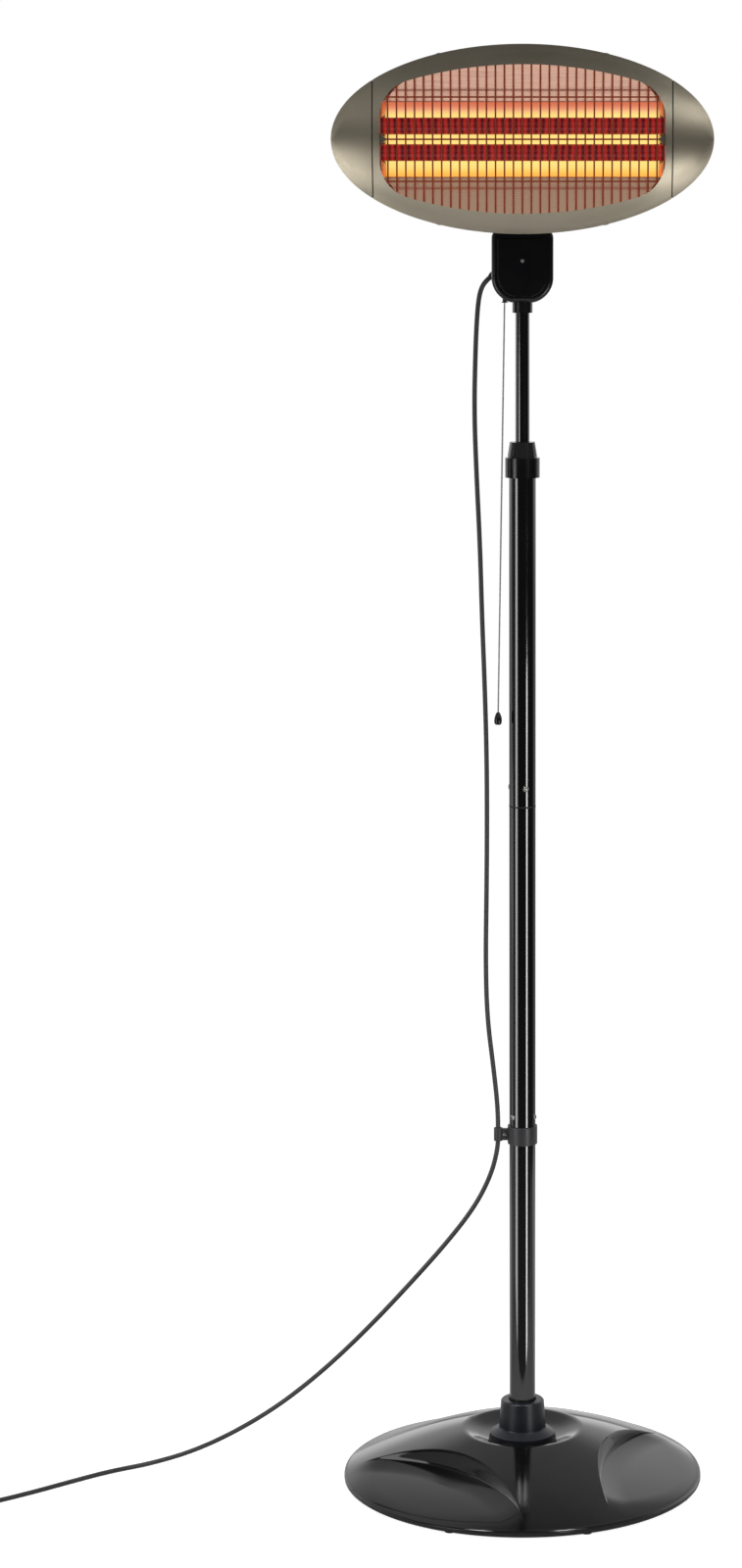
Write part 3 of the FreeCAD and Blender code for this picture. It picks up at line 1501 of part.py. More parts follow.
coil_quarters = quarters_per_layer * 2 + 2
headings = [coil_tangent(quarter) for quarter in range(coil_quarters + 1)]
stops = [coil_point(quarter) for quarter in range(coil_quarters + 1)]
headings[0].z = 0
headings[-1].z = 0
coil_lead_in = stops[0] - headings[0] * s.cord_diameter.value
coil_lead_out = stops[-1] + headings[-1] * s.cord_diameter.value
coil_edges = [Part.LineSegment(coil_lead_in, stops[0]).toShape()]
for quarter in range(coil_quarters):
    coil_edges += biarc(stops[quarter], headings[quarter], stops[quarter + 1], headings[quarter + 1])
coil_edges.append(Part.LineSegment(stops[-1], coil_lead_out).toShape())
coil_tube, coil_length, coil_share = tube_on(coil_edges, cord_radius)
coil = doc.addObject("Part::Feature", "lead_coil")
coil.Shape = coil_tube
keep("cord_coil", coil)
samples = []
walked = []
for edge in coil_edges:
    points = edge.discretize(12)[:-1]
    start = walked[-1] + edge.Length / len(points) if walked else 0.0
    walked += [start + edge.Length * index / len(points) for index in range(len(points))]
    samples += points
apart = 4 * s.cord_diameter.value
gaps = [
    (samples[i] - samples[j]).Length - 2 * cord_radius
    for i in range(len(samples))
    for j in range(i + 1, len(samples))
    if walked[j] - walked[i] > apart
]
print(f"cord_coil: length {coil_length:.0f}, least gap {min(gaps):.2f}, volume share {coil_share:.4f}")

lower_route = [
    tuple(clip_spot),
    (-34.5, 0, 472),
    (-44, 1, 435),
    (-66, 4, 390),
    (-104, 10, 338),
    (-156, 17, 276),
    (-214, 26, 210),
    (-276, 36, 146),
    (-340, 46, 90),
    (-404, 54, 47),
    (-466, 54, 17),
    (-525, 40, coil_level),
    (-580, 8, coil_level),
    (-632, -36, coil_level),
    (-684, -82, coil_level),
    tuple(coil_lead_in - headings[0] * s.coil_run_in.value),
    tuple(coil_lead_in),
]
keep("cord_lower", cord_tube("lead_lower", lower_route, cord_radius))

plug_axis = headings[-1]
plug_side = Vector(-plug_axis.y, plug_axis.x, 0)
plug_height = s.plug_diameter.value / 2
tail_start = coil_lead_out
plug_tip = tail_start + plug_axis * s.plug_reach.value + plug_side * s.plug_aside.value
plug_tip.z = plug_height
plug_heading = (plug_axis + plug_side * 0.5).normalize()
tail_lift = Vector(0, 0, s.tail_bend_lift.value)
tail_bend = tail_start + plug_axis * s.tail_bend_reach.value + plug_side * s.tail_bend_aside.value + tail_lift
tail_route = [
    tuple(tail_start),
    tuple(tail_start + plug_axis * s.tail_run.value),
    tuple(tail_bend),
    tuple(plug_tip - plug_heading * s.plug_run_in.value),
    tuple(plug_tip),
]
keep("cord_tail", cord_tube("lead_tail", tail_route, cord_radius))

plug_turn = Rotation(Vector(0, 0, 1), plug_heading)
plug_start = s.plug_tail
plug_shoulder = plug_start + s.plug_body
plug_end = plug_shoulder + s.plug_face
plug = revolve(
    "plug",
    [
        (zero, zero),
        (s.plug_tail_diameter / 2, zero),
        (s.plug_tail_diameter / 2, plug_start),
        (s.plug_diameter / 2 * 0.86, plug_start + s.plug_body * 0.3),
        (s.plug_diameter / 2 * 0.86, plug_shoulder),
        (s.plug_diameter / 2, plug_shoulder + s.plug_face * 0.2),
        (s.plug_diameter / 2, plug_end),
        (zero, plug_end),
    ],
)
plug.Placement = FreeCAD.Placement(plug_tip, plug_turn)
keep("plug", plug)
pins = []
pin_turn = Vector(0, 0, 1).cross(plug_heading).normalize()
for sign in (-0.5, 0.5):
    foot = plug_tip + plug_heading * plug_end.value + pin_turn * (sign * s.pin_spacing.value)
    pins.append(wire_rod(foot, foot + plug_heading * s.pin_length.value, s.pin_diameter.value / 2))
pin_pair = doc.addObject("Part::Feature", "pins")
pin_pair.Shape = Part.Compound(pins)
keep("plug_pins", pin_pair)

# Tie: a flat strap round the bundle of turns.
tie_angle = coil_start_angle + math.pi
tie_out = Vector(math.cos(tie_angle), math.sin(tie_angle), 0)
tie_along = Vector(-tie_out.y, tie_out.x, 0)
bundle = []
for point in samples:
    from_centre = point - coil_centre
    if from_centre.dot(tie_out) > 0 and abs(from_centre.dot(tie_along)) < s.tie_search.value:
        bundle.append(point)
tie_gap = s.tie_gap.value
low_reach = min((point - coil_centre).dot(tie_out) for point in bundle) - cord_radius - tie_gap
high_reach = max((point - coil_centre).dot(tie_out) for point in bundle) + cord_radius + tie_gap
tie_sheet = s.tie_sheet.value
tie_high = max(point.z for point in bundle) + cord_radius + tie_gap
tie_length = s.tie_width.value


def tie_block(low, high, bottom, top):
    item = Part.makeBox(high - low, tie_length, top - bottom, Vector(low, -tie_length / 2, bottom))
    item.rotate(Vector(), Vector(0, 0, 1), math.degrees(tie_angle))
    item.translate(coil_centre)
    return item


tie = doc.addObject("Part::Feature", "tie")
tie_shell = tie_block(low_reach - tie_sheet, high_reach + tie_sheet, 0, tie_high + tie_sheet)
tie.Shape = tie_shell.cut(tie_block(low_reach, high_reach, coil_level - cord_radius, tie_high))
keep("cord_tie", tie)

doc.recompute()
for item in doc.Objects:
    if "Invalid" in item.State or "Error" in item.State:
        raise RuntimeError(f"{item.Name} did not recompute: {item.State}")
os.makedirs("parts", exist_ok=True)
for name, item in PARTS.items():
    item.Label = name
    shape = item.Shape
    if shape.isNull() or not shape.isValid() or not shape.Solids:
        raise RuntimeError(f"{name} has no valid solid")
    shape.exportStep(f"parts/{name}.step")
print(f"{len(PARTS)} nodes")
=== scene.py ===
import math
import bpy
from mathutils import Matrix, Vector


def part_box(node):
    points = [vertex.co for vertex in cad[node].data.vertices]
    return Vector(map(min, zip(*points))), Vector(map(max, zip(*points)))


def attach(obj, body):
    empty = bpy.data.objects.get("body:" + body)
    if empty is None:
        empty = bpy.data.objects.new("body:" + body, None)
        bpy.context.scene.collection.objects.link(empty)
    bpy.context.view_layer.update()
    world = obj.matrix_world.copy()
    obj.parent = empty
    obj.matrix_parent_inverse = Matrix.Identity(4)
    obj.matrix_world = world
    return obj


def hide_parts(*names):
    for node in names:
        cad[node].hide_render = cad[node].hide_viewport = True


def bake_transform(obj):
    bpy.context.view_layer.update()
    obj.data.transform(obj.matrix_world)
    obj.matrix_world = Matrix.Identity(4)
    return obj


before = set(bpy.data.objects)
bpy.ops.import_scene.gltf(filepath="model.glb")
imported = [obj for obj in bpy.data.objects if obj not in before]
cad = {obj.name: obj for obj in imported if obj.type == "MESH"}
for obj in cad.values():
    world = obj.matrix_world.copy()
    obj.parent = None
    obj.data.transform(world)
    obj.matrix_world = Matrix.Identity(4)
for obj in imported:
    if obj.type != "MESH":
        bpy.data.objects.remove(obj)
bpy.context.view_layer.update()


# Base dome: a steel disc pressed into a shallow cone with a sunk middle and three
# scalloped flats, its edge rolled down to the floor, stoved in deep gloss black.
DOME_RIM = 0.250
DOME_SHOULDER = (0.246, 0.0115)
DOME_CREST = (0.082, 0.072)
DOME_BOW = 0.900
DOME_EDGE_ROUND = 0.004
DOME_EDGE_BENDS = (15, 30, 45, 60, 75)
DOME_SKIRT = 0.0045
DOME_FOOT = 0.0025
DOME_SHEET = 0.0015
DOME_HOLE = 0.040
DOME_COLUMNS = 330
# Rows up to a scallop's crest, along its wall, and out to the shoulder.
DOME_ROWS = (50, 22, 42)
DISH_FLOOR = (0.050, 0.061)
SCALLOP_AZIMUTHS = (226, 346, 106)
SCALLOP_SLOPE = math.radians(8.9)
SCALLOP_FOOT = (0.117, 0.0307)
SCALLOP_BEND = 0.320
SCALLOP_WALL = 0.060 / 0.016
SCALLOP_SWEEP = (0.035, 0.005)
SCALLOP_CROWN = 1.0
SCALLOP_SIDE_CROWN = 3.5
SCALLOP_CREST_ROUND = 0.006
SCALLOP_FOOT_ROUND = 0.009
PRESS_ROUND = 0.005
CREASE_BAND = 0.0025
NORMAL_STEP = 0.0004
WALL_ROUNDS = 5
CREASE_HALVINGS = 24
NOISE_MIDDLE = (0.3, 0.7)


def tone(red, green, blue):
    """A colour as the eye reads it, 0 to 255, as the linear colour a shader takes."""
    linear = []
    for part in (red, green, blue):
        share = part / 255
        linear.append(share / 12.92 if share <= 0.04045 else ((share + 0.055) / 1.055) ** 2.4)
    return (*linear, 1.0)


def soft_min(first, second, blend):
    near = max(blend - abs(first - second), 0) / blend
    return min(first, second) - near * near * blend / 4


def dome_height(radius):
    chord = Vector(DOME_SHOULDER) - Vector(DOME_CREST)
    middle = (Vector(DOME_SHOULDER) + Vector(DOME_CREST)) / 2
    inward = Vector((chord.y, -chord.x)).normalized()
    centre = middle + inward * math.sqrt(DOME_BOW ** 2 - (chord.length / 2) ** 2)
    return centre.y + math.sqrt(DOME_BOW ** 2 - (radius - centre.x) ** 2)


def scallop_height(x, y, azimuth):
    """The flat of a scallop and the conical wall that rises from its inner edge."""
    turn = math.radians(azimuth)
    out = x * math.cos(turn) + y * math.sin(turn)
    aside = y * math.cos(turn) - x * math.sin(turn)
    plane = SCALLOP_FOOT[1] - (out - SCALLOP_FOOT[0]) * math.tan(SCALLOP_SLOPE)
    from_centre = (out - SCALLOP_FOOT[0] - SCALLOP_BEND) / math.cos(SCALLOP_SLOPE)
    lift = 0.0
    for step in range(WALL_ROUNDS):
        along = from_centre - lift * math.tan(SCALLOP_SLOPE)
        reach = math.hypot(along, aside)
        miss = lift - (reach - SCALLOP_BEND) * SCALLOP_WALL
        lift -= miss / (1 + SCALLOP_WALL * math.tan(SCALLOP_SLOPE) * along / reach)
    height = plane + lift / math.cos(SCALLOP_SLOPE)
    from_foot = (SCALLOP_BEND - math.hypot(from_centre, aside)) / SCALLOP_SWEEP[0]
    plane += SCALLOP_SWEEP[1] * (1 - min(max(from_foot, 0), 1)) ** 2
    plane += (out - SCALLOP_FOOT[0]) * (DOME_SHOULDER[0] - out) / (2 * SCALLOP_CROWN)
    plane -= aside ** 2 / (2 * SCALLOP_SIDE_CROWN)
    return -soft_min(-plane, -height, SCALLOP_FOOT_ROUND)


def pressed_height(x, y):
    radius = math.hypot(x, y)
    if radius > DOME_SHOULDER[0]:
        over = min(radius - DOME_SHOULDER[0], DOME_EDGE_ROUND)
        top = DOME_SHOULDER[1] - DOME_EDGE_ROUND + math.sqrt(DOME_EDGE_ROUND ** 2 - over ** 2)
    else:
        top = dome_height(radius)
    slope = (DOME_CREST[1] - DISH_FLOOR[1]) / (DOME_CREST[0] - DISH_FLOOR[0])
    dish = -soft_min(-DISH_FLOOR[1], -(DISH_FLOOR[1] + (radius - DISH_FLOOR[0]) * slope), PRESS_ROUND)
    top = soft_min(top, dish, PRESS_ROUND / 2)
    for azimuth in SCALLOP_AZIMUTHS:
        top = soft_min(top, scallop_height(x, y, azimuth), SCALLOP_CREST_ROUND)
    return top


def crease_radii(angle):
    """Where the nearest scallop's wall starts and ends along a ray from the middle."""
    turns = [math.remainder(angle - math.radians(azimuth), 2 * math.pi) for azimuth in SCALLOP_AZIMUTHS]
    aside = min(turns, key=abs)
    last = DOME_SHOULDER[0] - CREASE_BAND * 1.5
    centre = SCALLOP_FOOT[0] + SCALLOP_BEND
    stretch = math.cos(SCALLOP_SLOPE) ** 2
    square = math.cos(aside) ** 2 + stretch * math.sin(aside) ** 2
    half = centre * math.cos(aside)
    inside = half ** 2 - square * (centre ** 2 - stretch * SCALLOP_BEND ** 2)
    if inside <= 0:
        return last, last
    foot = min((half - math.sqrt(inside)) / square, last)
    low, high = DOME_CREST[0], foot
    ray = math.radians(SCALLOP_AZIMUTHS[0] + math.degrees(aside))
    for step in range(CREASE_HALVINGS):
        middle = (low + high) / 2
        wall = scallop_height(middle * math.cos(ray), middle * math.sin(ray), SCALLOP_AZIMUTHS[0])
        if wall > dome_height(middle):
            low = middle
        else:
            high = middle
    return low, foot


def column_radii(angle):
    """Rows from the hole to the edge, drawn close together along a scallop's wall."""
    crest, foot = crease_radii(angle)
    stops = (DOME_HOLE, crest - CREASE_BAND, foot + CREASE_BAND, DOME_SHOULDER[0])
    radii = []
    for start, end, rows in zip(stops, stops[1:], DOME_ROWS):
        radii += [start + (end - start) * row / rows for row in range(rows)]
    radii.append(DOME_SHOULDER[0])
    for bend in DOME_EDGE_BENDS:
        radii.append(DOME_SHOULDER[0] + DOME_EDGE_ROUND * math.sin(math.radians(bend)))
    return radii


def new_piece(name, points, faces, smooth=True):
    """A mesh piece at the origin, with its place in its points."""
    mesh = bpy.data.meshes.new(name)
    mesh.from_pydata([tuple(point) for point in points], [], faces)
    mesh.update()
    for face in mesh.polygons:
        face.use_smooth = smooth
    piece = bpy.data.objects.new(name, mesh)
    bpy.context.scene.collection.objects.link(piece)
    return piece


def ring_faces(rows, columns, closed=False):
    """Quads between rings of points, and from the last ring to the first if closed."""
    faces = []
    for row in range(rows if closed else rows - 1):
        low = row * columns
        high = (row + 1) % rows * columns
        for column in range(columns):
            after = (column + 1) % columns
            faces.append((low + column, high + column, high + after, low + after))
    return faces


def feed(tree, value, socket):
    """Link a socket to another, or set it to a plain value."""
    if isinstance(value, bpy.types.NodeSocket):
        tree.links.new(value, socket)
    else:
        socket.default_value = value


def add_node(tree, kind, inputs=None, **settings):
    """A node with its settings, and inputs that are values or sockets to link."""
    node = tree.nodes.new(kind)
    for label, value in settings.items():
        setattr(node, label, value)
    for label, value in (inputs or {}).items():
        feed(tree, value, node.inputs[label])
    return node


def stretched_noise(tree, across, along, up, detail):
    """Noise on the piece's own coordinates, with its own scale on each axis."""
    where = add_node(tree, "ShaderNodeTexCoord").outputs["Object"]
    mapping = add_node(tree, "ShaderNodeMapping", {"Vector": where, "Scale": (across, along, up)})
    place = mapping.outputs["Vector"]
    return add_node(tree, "ShaderNodeTexNoise", {"Vector": place, "Scale": 1.0, "Detail": detail}).outputs["Fac"]


def map_range(tree, value, start, end, low=0.0, high=1.0, **settings):
    """A value that runs from start to end, spread from low to high."""
    ends = {"From Min": start, "From Max": end, "To Min": low, "To Max": high}
    return add_node(tree, "ShaderNodeMapRange", {"Value": value, **ends}, **settings).outputs["Result"]


def two_tone(tree, factor, first, second):
    inputs = {"Factor": factor, "A": first, "B": second}
    return add_node(tree, "ShaderNodeMix", inputs, data_type="RGBA").outputs["Result"]


def skin_group(name, wear, relief, tint, tint_range=NOISE_MIDDLE):
    """A shared skin: each noise is given by its scale on three axes and its detail."""
    group = bpy.data.node_groups.new(name, "ShaderNodeTree")
    for way, labels in (("INPUT", ("Smooth", "Rough")), ("OUTPUT", ("Roughness", "Relief", "Tint"))):
        for label in labels:
            group.interface.new_socket(label, in_out=way, socket_type="NodeSocketFloat")
    ends = add_node(group, "NodeGroupInput").outputs
    worn = map_range(group, stretched_noise(group, *wear), *NOISE_MIDDLE, ends["Smooth"], ends["Rough"])
    tinted = map_range(group, stretched_noise(group, *tint), *tint_range)
    parts = {"Roughness": worn, "Relief": stretched_noise(group, *relief), "Tint": tinted}
    add_node(group, "NodeGroupOutput", parts)
    return group


def new_material(name):
    material = bpy.data.materials.new(name)
    material.use_nodes = True
    shader = material.node_tree.nodes["Principled BSDF"]
    return material, material.node_tree, shader


def bump(tree, shader, height, distance, strength):
    relief = {"Height": height, "Distance": distance, "Strength": strength}
    feed(tree, add_node(tree, "ShaderNodeBump", relief).outputs["Normal"], shader.inputs["Normal"])


def skinned(skin, name, dark, light, smooth, rough, depth, strength):
    """A material with a skin's tint between two tones, its roughness and its relief."""
    material, tree, shader = new_material(name)
    layer = add_node(tree, "ShaderNodeGroup", {"Smooth": smooth, "Rough": rough}, node_tree=skin).outputs
    feed(tree, two_tone(tree, layer["Tint"], dark, light), shader.inputs["Base Color"])
    feed(tree, layer["Roughness"], shader.inputs["Roughness"])
    bump(tree, shader, layer["Relief"], depth, strength)
    return material, shader


paint_skin = skin_group("paint_skin", (9, 9, 9, 4), (260, 260, 260, 2), (34, 34, 34, 6))


def gloss_paint(name, dark, dusty, smooth, hazy, peel_depth, index=1.5):
    """Stoved black paint: a hazy sheen, a faint orange peel and a little settled dust."""
    material, shader = skinned(paint_skin, name, dark, dusty, smooth, hazy, peel_depth, strength=0.25)
    shader.inputs["IOR"].default_value = index
    return material


def dress(material, *names):
    """Give carried-over pieces their finish."""
    for name in names:
        for slot in cad[name].material_slots:
            slot.material = material


dome_angles = [2 * math.pi * column / DOME_COLUMNS for column in range(DOME_COLUMNS)]
dome_columns = []
for angle in dome_angles:
    dome_columns.append([(radius * math.cos(angle), radius * math.sin(angle)) for radius in column_radii(angle)])
outer_skin = []
for row in range(len(dome_columns[0])):
    for column in dome_columns:
        x, y = column[row]
        z = pressed_height(x, y)
        fall_x = (z - pressed_height(x + NORMAL_STEP, y)) / NORMAL_STEP
        fall_y = (z - pressed_height(x, y + NORMAL_STEP)) / NORMAL_STEP
        outer_skin.append((Vector((x, y, z)), Vector((fall_x, fall_y, 1)).normalized()))
for height in (DOME_SHOULDER[1] - DOME_EDGE_ROUND, DOME_SKIRT, DOME_FOOT):
    for angle in dome_angles:
        way = Vector((math.cos(angle), math.sin(angle), 0))
        outer_skin.append((way * DOME_RIM + Vector((0, 0, height)), way))
dome_rows = len(outer_skin) // DOME_COLUMNS
dome_points = [point for point, normal in outer_skin]
dome_normals = [normal for point, normal in outer_skin]
for row in reversed(range(dome_rows)):
    for point, normal in outer_skin[row * DOME_COLUMNS:(row + 1) * DOME_COLUMNS]:
        dome_points.append(point - normal * DOME_SHEET)
        dome_normals.append(-normal)
pressed_dome = new_piece("pressed_dome", dome_points, ring_faces(dome_rows * 2, DOME_COLUMNS, closed=True))
pressed_dome.data.normals_split_custom_set_from_vertices(dome_normals)
dome_paint = gloss_paint("dome_paint", tone(6, 6, 7), tone(12, 12, 13), 0.06, 0.13, 0.00004)
pressed_dome.data.materials.append(dome_paint)
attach(pressed_dome, "stand")
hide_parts("base_dome")


# Under the dome: a pressed steel closing plate, a cast cement ballast ring and
# eight rubber feet pushed into the rim, with the pole's foot flange bolted through.
plate_paint = gloss_paint("plate_paint", tone(10, 10, 11), tone(30, 29, 28), 0.3, 0.45, 0.00008)
dress(plate_paint, "base_plate", "foot_flange")

cement, cement_tree, cement_shader = new_material("cast_cement")
cement_grain = stretched_noise(cement_tree, 120, 120, 120, 8)
cement_tint = two_tone(cement_tree, cement_grain, tone(96, 94, 90), tone(150, 147, 141))
feed(cement_tree, cement_tint, cement_shader.inputs["Base Color"])
cement_shader.inputs["Roughness"].default_value = 0.92
bump(cement_tree, cement_shader, cement_grain, 0.0008, 0.6)
dress(cement, "ballast")

moulded_grain = skin_group("moulded_grain", (22, 22, 22, 3), (1500, 1500, 1500, 2), (22, 22, 22, 3), (0, 1))
brushed_grain = skin_group("brushed_grain", (14, 900, 900, 3), (14, 900, 900, 3), (5, 9, 9, 3))


def moulding(name, dark, light, smooth, dull, depth):
    """A moulded plastic or rubber with a fine spark-eroded grain."""
    return skinned(moulded_grain, name, dark, light, smooth, dull, depth, strength=0.3)[0]


def worked_metal(name, dark, light, smooth, rough, depth, strength=0.15):
    """Bare or plated metal with fine drawn lines and a slightly uneven colour."""
    material, shader = skinned(brushed_grain, name, dark, light, smooth, rough, depth, strength)
    shader.inputs["Metallic"].default_value = 1.0
    return material


foot_rubber = moulding("foot_rubber", tone(16, 16, 16), tone(26, 26, 25), 0.7, 0.85, 0.0002)
dress(foot_rubber, "rubber_feet")
zinc = worked_metal("zinc_plate", tone(150, 150, 146), tone(190, 190, 184), 0.22, 0.4, 0.00003)
dress(zinc, "base_bolts", "base_nuts")


# Base collar: a black moulded plastic skirt that drops over the foot of the pole
# and covers the flange bolts in the dish.
collar_plastic = moulding("collar_plastic", tone(16, 18, 25), tone(24, 26, 34), 0.3, 0.42, 0.00006)
dress(collar_plastic, "base_collar")


# Pole: three black painted steel tubes butted end to end over inner couplers,
# each joint held by three cross-head screws, and a dark band round the upper one
# that stands for the shade in its seam: painted shade.
POLE_RADIUS = 0.018
BAND_INNER = 0.01802
BAND_OUTER = 0.0183
BAND_HALF_HEIGHT = 0.0011
BAND_FACE = 0.7
BAND_DROP = 0.0004
BAND_SIDES = 72
# Each joint's height and the azimuth of its first screw.
JOINTS = ((0.521, 222), (0.981, 285))
JOINT_SCREWS = 3
# A screw's sizes: its head's diameter and height, then its shank's diameter and length.
JOINT_SCREW = (0.008, 0.002, 0.004, 0.0045)
# The cross in a screw's head, as shares of the head's diameter and height.
CROSS_LENGTH = 0.62
CROSS_WIDTH = 0.14
CROSS_LEVELS = (0.95, 0.9)
tube_paint = gloss_paint("tube_paint", tone(3, 3, 4), tone(6, 6, 7), 0.07, 0.12, 0.000002, index=2.0)
dress(tube_paint, "lower_tube", "middle_tube", "upper_tube")
# The couplers are given a dark finish so that the joint gaps read dark: painted shade between the tubes.
gap_shade_zinc = worked_metal("gap_shade_zinc", tone(22, 22, 24), tone(34, 34, 36), 0.5, 0.6, 0.00001)
dress(gap_shade_zinc, "lower_coupler", "upper_coupler")

# Joint band: a thin dark ring as painted shade where the upper joint's seam lies in shadow.
band_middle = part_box("upper_tube")[0][2] - BAND_DROP
band_profile = ((BAND_INNER, -1), (BAND_OUTER, -BAND_FACE), (BAND_OUTER, BAND_FACE), (BAND_INNER, 1))
band_points = []
for radius, rise in band_profile:
    for step in range(BAND_SIDES):
        angle = -2 * math.pi * step / BAND_SIDES
        height = band_middle + rise * BAND_HALF_HEIGHT
        band_points.append((radius * math.cos(angle), radius * math.sin(angle), height))
band_faces = ring_faces(len(band_profile), BAND_SIDES, closed=True)
joint_shade_band = new_piece("joint_shade_band", band_points, band_faces, smooth=False)
band_painted_shade = moulding("band_painted_shade", tone(9, 9, 10), tone(15, 15, 16), 0.6, 0.75, 0.00002)
joint_shade_band.data.materials.append(band_painted_shade)
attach(joint_shade_band, "stand")

SCREW_SIZES = ("Head Diameter", "Head Height", "Shank Diameter", "Shank Length")
screw_tree = bpy.data.node_groups.new("cross_head_screws", "GeometryNodeTree")
screw_tree.interface.new_socket("Spots", in_out="INPUT", socket_type="NodeSocketGeometry")
for label in SCREW_SIZES:
    screw_tree.interface.new_socket(label, in_out="INPUT", socket_type="NodeSocketFloat")
screw_tree.interface.new_socket("Finish", in_out="INPUT", socket_type="NodeSocketMaterial")
screw_tree.interface.new_socket("Screws", in_out="OUTPUT", socket_type="NodeSocketGeometry")


def calculate(tree, operation, *values):
    return add_node(tree, "ShaderNodeMath", dict(enumerate(values)), operation=operation).outputs[0]


def screw_share(size, share):
    return calculate(screw_tree, "MULTIPLY", size, share)


def screw_vector(*values):
    return add_node(screw_tree, "ShaderNodeCombineXYZ", dict(enumerate(values))).outputs[0]


def screw_part(kind, inputs, **settings):
    return add_node(screw_tree, kind, inputs, **settings).outputs[0]


screw_in = add_node(screw_tree, "NodeGroupInput").outputs
head_across, head_up, shank_across, shank_long = [screw_in[label] for label in SCREW_SIZES]
head_half = screw_share(head_across, 0.5)
ball = screw_part("GeometryNodeMeshUVSphere", {"Segments": 24, "Rings": 12, "Radius": 1.0})
head_size = screw_vector(head_half, head_half, head_up)
head = screw_part("GeometryNodeTransform", {"Geometry": ball, "Scale": head_size})
for wide, narrow, level in zip((CROSS_LENGTH, CROSS_WIDTH), (CROSS_WIDTH, CROSS_LENGTH), CROSS_LEVELS):
    size = screw_vector(screw_share(head_across, wide), screw_share(head_across, narrow), head_up)
    bar = screw_part("GeometryNodeMeshCube", {"Size": size})
    rise = screw_vector(0, 0, screw_share(head_up, level))
    bar = screw_part("GeometryNodeTransform", {"Geometry": bar, "Translation": rise})
    head = screw_part("GeometryNodeMeshBoolean", {"Mesh 1": head, "Mesh 2": bar}, operation="DIFFERENCE")
head = screw_part("GeometryNodeMergeByDistance", {"Geometry": head, "Distance": 0.00002})
shank_sizes = {"Vertices": 16, "Radius": screw_share(shank_across, 0.5), "Depth": shank_long}
shank = screw_part("GeometryNodeMeshCylinder", shank_sizes)
sink = screw_vector(0, 0, screw_share(shank_long, -0.5))
shank = screw_part("GeometryNodeTransform", {"Geometry": shank, "Translation": sink})
whole_screw = add_node(screw_tree, "GeometryNodeJoinGeometry", {"Geometry": head})
feed(screw_tree, shank, whole_screw.inputs["Geometry"])
facing = add_node(screw_tree, "GeometryNodeInputNamedAttribute", {"Name": "facing"}, data_type="FLOAT_VECTOR")
aim = screw_part("FunctionNodeAlignRotationToVector", {"Vector": facing.outputs["Attribute"]}, axis="Z")
on_spots = {"Points": screw_in["Spots"], "Instance": whole_screw.outputs["Geometry"], "Rotation": aim}
screws = screw_part("GeometryNodeInstanceOnPoints", on_spots)
screws = screw_part("GeometryNodeRealizeInstances", {"Geometry": screws})
screws = screw_part("GeometryNodeSetMaterial", {"Geometry": screws, "Material": screw_in["Finish"]})
add_node(screw_tree, "NodeGroupOutput", {"Screws": screws})


def cross_screws(name, spots, sizes, finish, body, replaced):
    """Domed cross-head screws: each spot is the head's seat and the way it faces."""
    piece = new_piece(name, [spot for spot, way in spots], [])
    way_out = piece.data.attributes.new("facing", "FLOAT_VECTOR", "POINT")
    for index, (spot, way) in enumerate(spots):
        way_out.data[index].vector = way
    build = piece.modifiers.new("screws", "NODES")
    build.node_group = screw_tree
    values = {**dict(zip(SCREW_SIZES, sizes)), "Finish": finish}
    for item in screw_tree.interface.items_tree:
        if item.in_out == "INPUT" and item.name in values:
            build[item.identifier] = values[item.name]
    graph = bpy.context.evaluated_depsgraph_get()
    mesh = bpy.data.meshes.new_from_object(piece.evaluated_get(graph), depsgraph=graph)
    piece.modifiers.clear()
    piece.data = mesh
    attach(piece, body)
    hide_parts(replaced)


joint_spots = []
for height, first in JOINTS:
    for step in range(JOINT_SCREWS):
        turn = math.radians(first + 360 / JOINT_SCREWS * step)
        way = Vector((math.cos(turn), math.sin(turn), 0))
        joint_spots.append((way * POLE_RADIUS + Vector((0, 0, height)), way))
cross_screws("joint_screws", joint_spots, JOINT_SCREW, zinc, "stand", "coupler_screws")


# Cable clip: a moulded band round the lower joint with a loop for the lead,
# closed by one small screw in its web.
CLIP_SCREW = (0.0055, 0.0016, 0.003, 0.006)
clip_plastic = moulding("clip_plastic", tone(52, 52, 54), tone(64, 64, 66), 0.35, 0.5, 0.00006)
dress(clip_plastic, "cable_clip")
clip_low, clip_high = (Vector(corner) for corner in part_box("clip_screw"))
clip_spot = (clip_low + clip_high) / 2
clip_spot.y = clip_low.y + CLIP_SCREW[1]
clip_spots = [(clip_spot, Vector((0, -1, 0)))]
cross_screws("clip_cross_screw", clip_spots, CLIP_SCREW, zinc, "stand", "clip_screw")


# Height clamp: a bush pressed into the pole, a split collet round the riser and a
# fluted plastic grip that squeezes it when turned.
grip_plastic = moulding("grip_plastic", tone(13, 13, 15), tone(20, 20, 22), 0.17, 0.24, 0.00002)
dress(grip_plastic, "clamp_grip")
bush_plastic = moulding("bush_plastic", tone(30, 30, 31), tone(44, 44, 44), 0.35, 0.5, 0.00006)
dress(bush_plastic, "clamp_bush", "clamp_collet", "glide_bush")


# Riser: the thin black painted tube that slides in the pole, with a moulded ferrule
# where it enters the neck.
riser_paint = gloss_paint("riser_paint", tone(3, 3, 4), tone(6, 6, 7), 0.1, 0.16, 0.000002, index=2.0)
dress(riser_paint, "inner_tube")
dress(grip_plastic, "neck_ferrule")


# Neck: two glossy black plastic half covers screwed together from behind, with the
# pull switch, its bush and the lead's gland between them.
neck_plastic = moulding("neck_plastic", tone(5, 5, 8), tone(9, 9, 12), 0.18, 0.26, 0.00003)
dress(neck_plastic, "neck_front_cover", "neck_rear_cover")
dress(bush_plastic, "cord_gland", "pull_bush", "pull_switch")


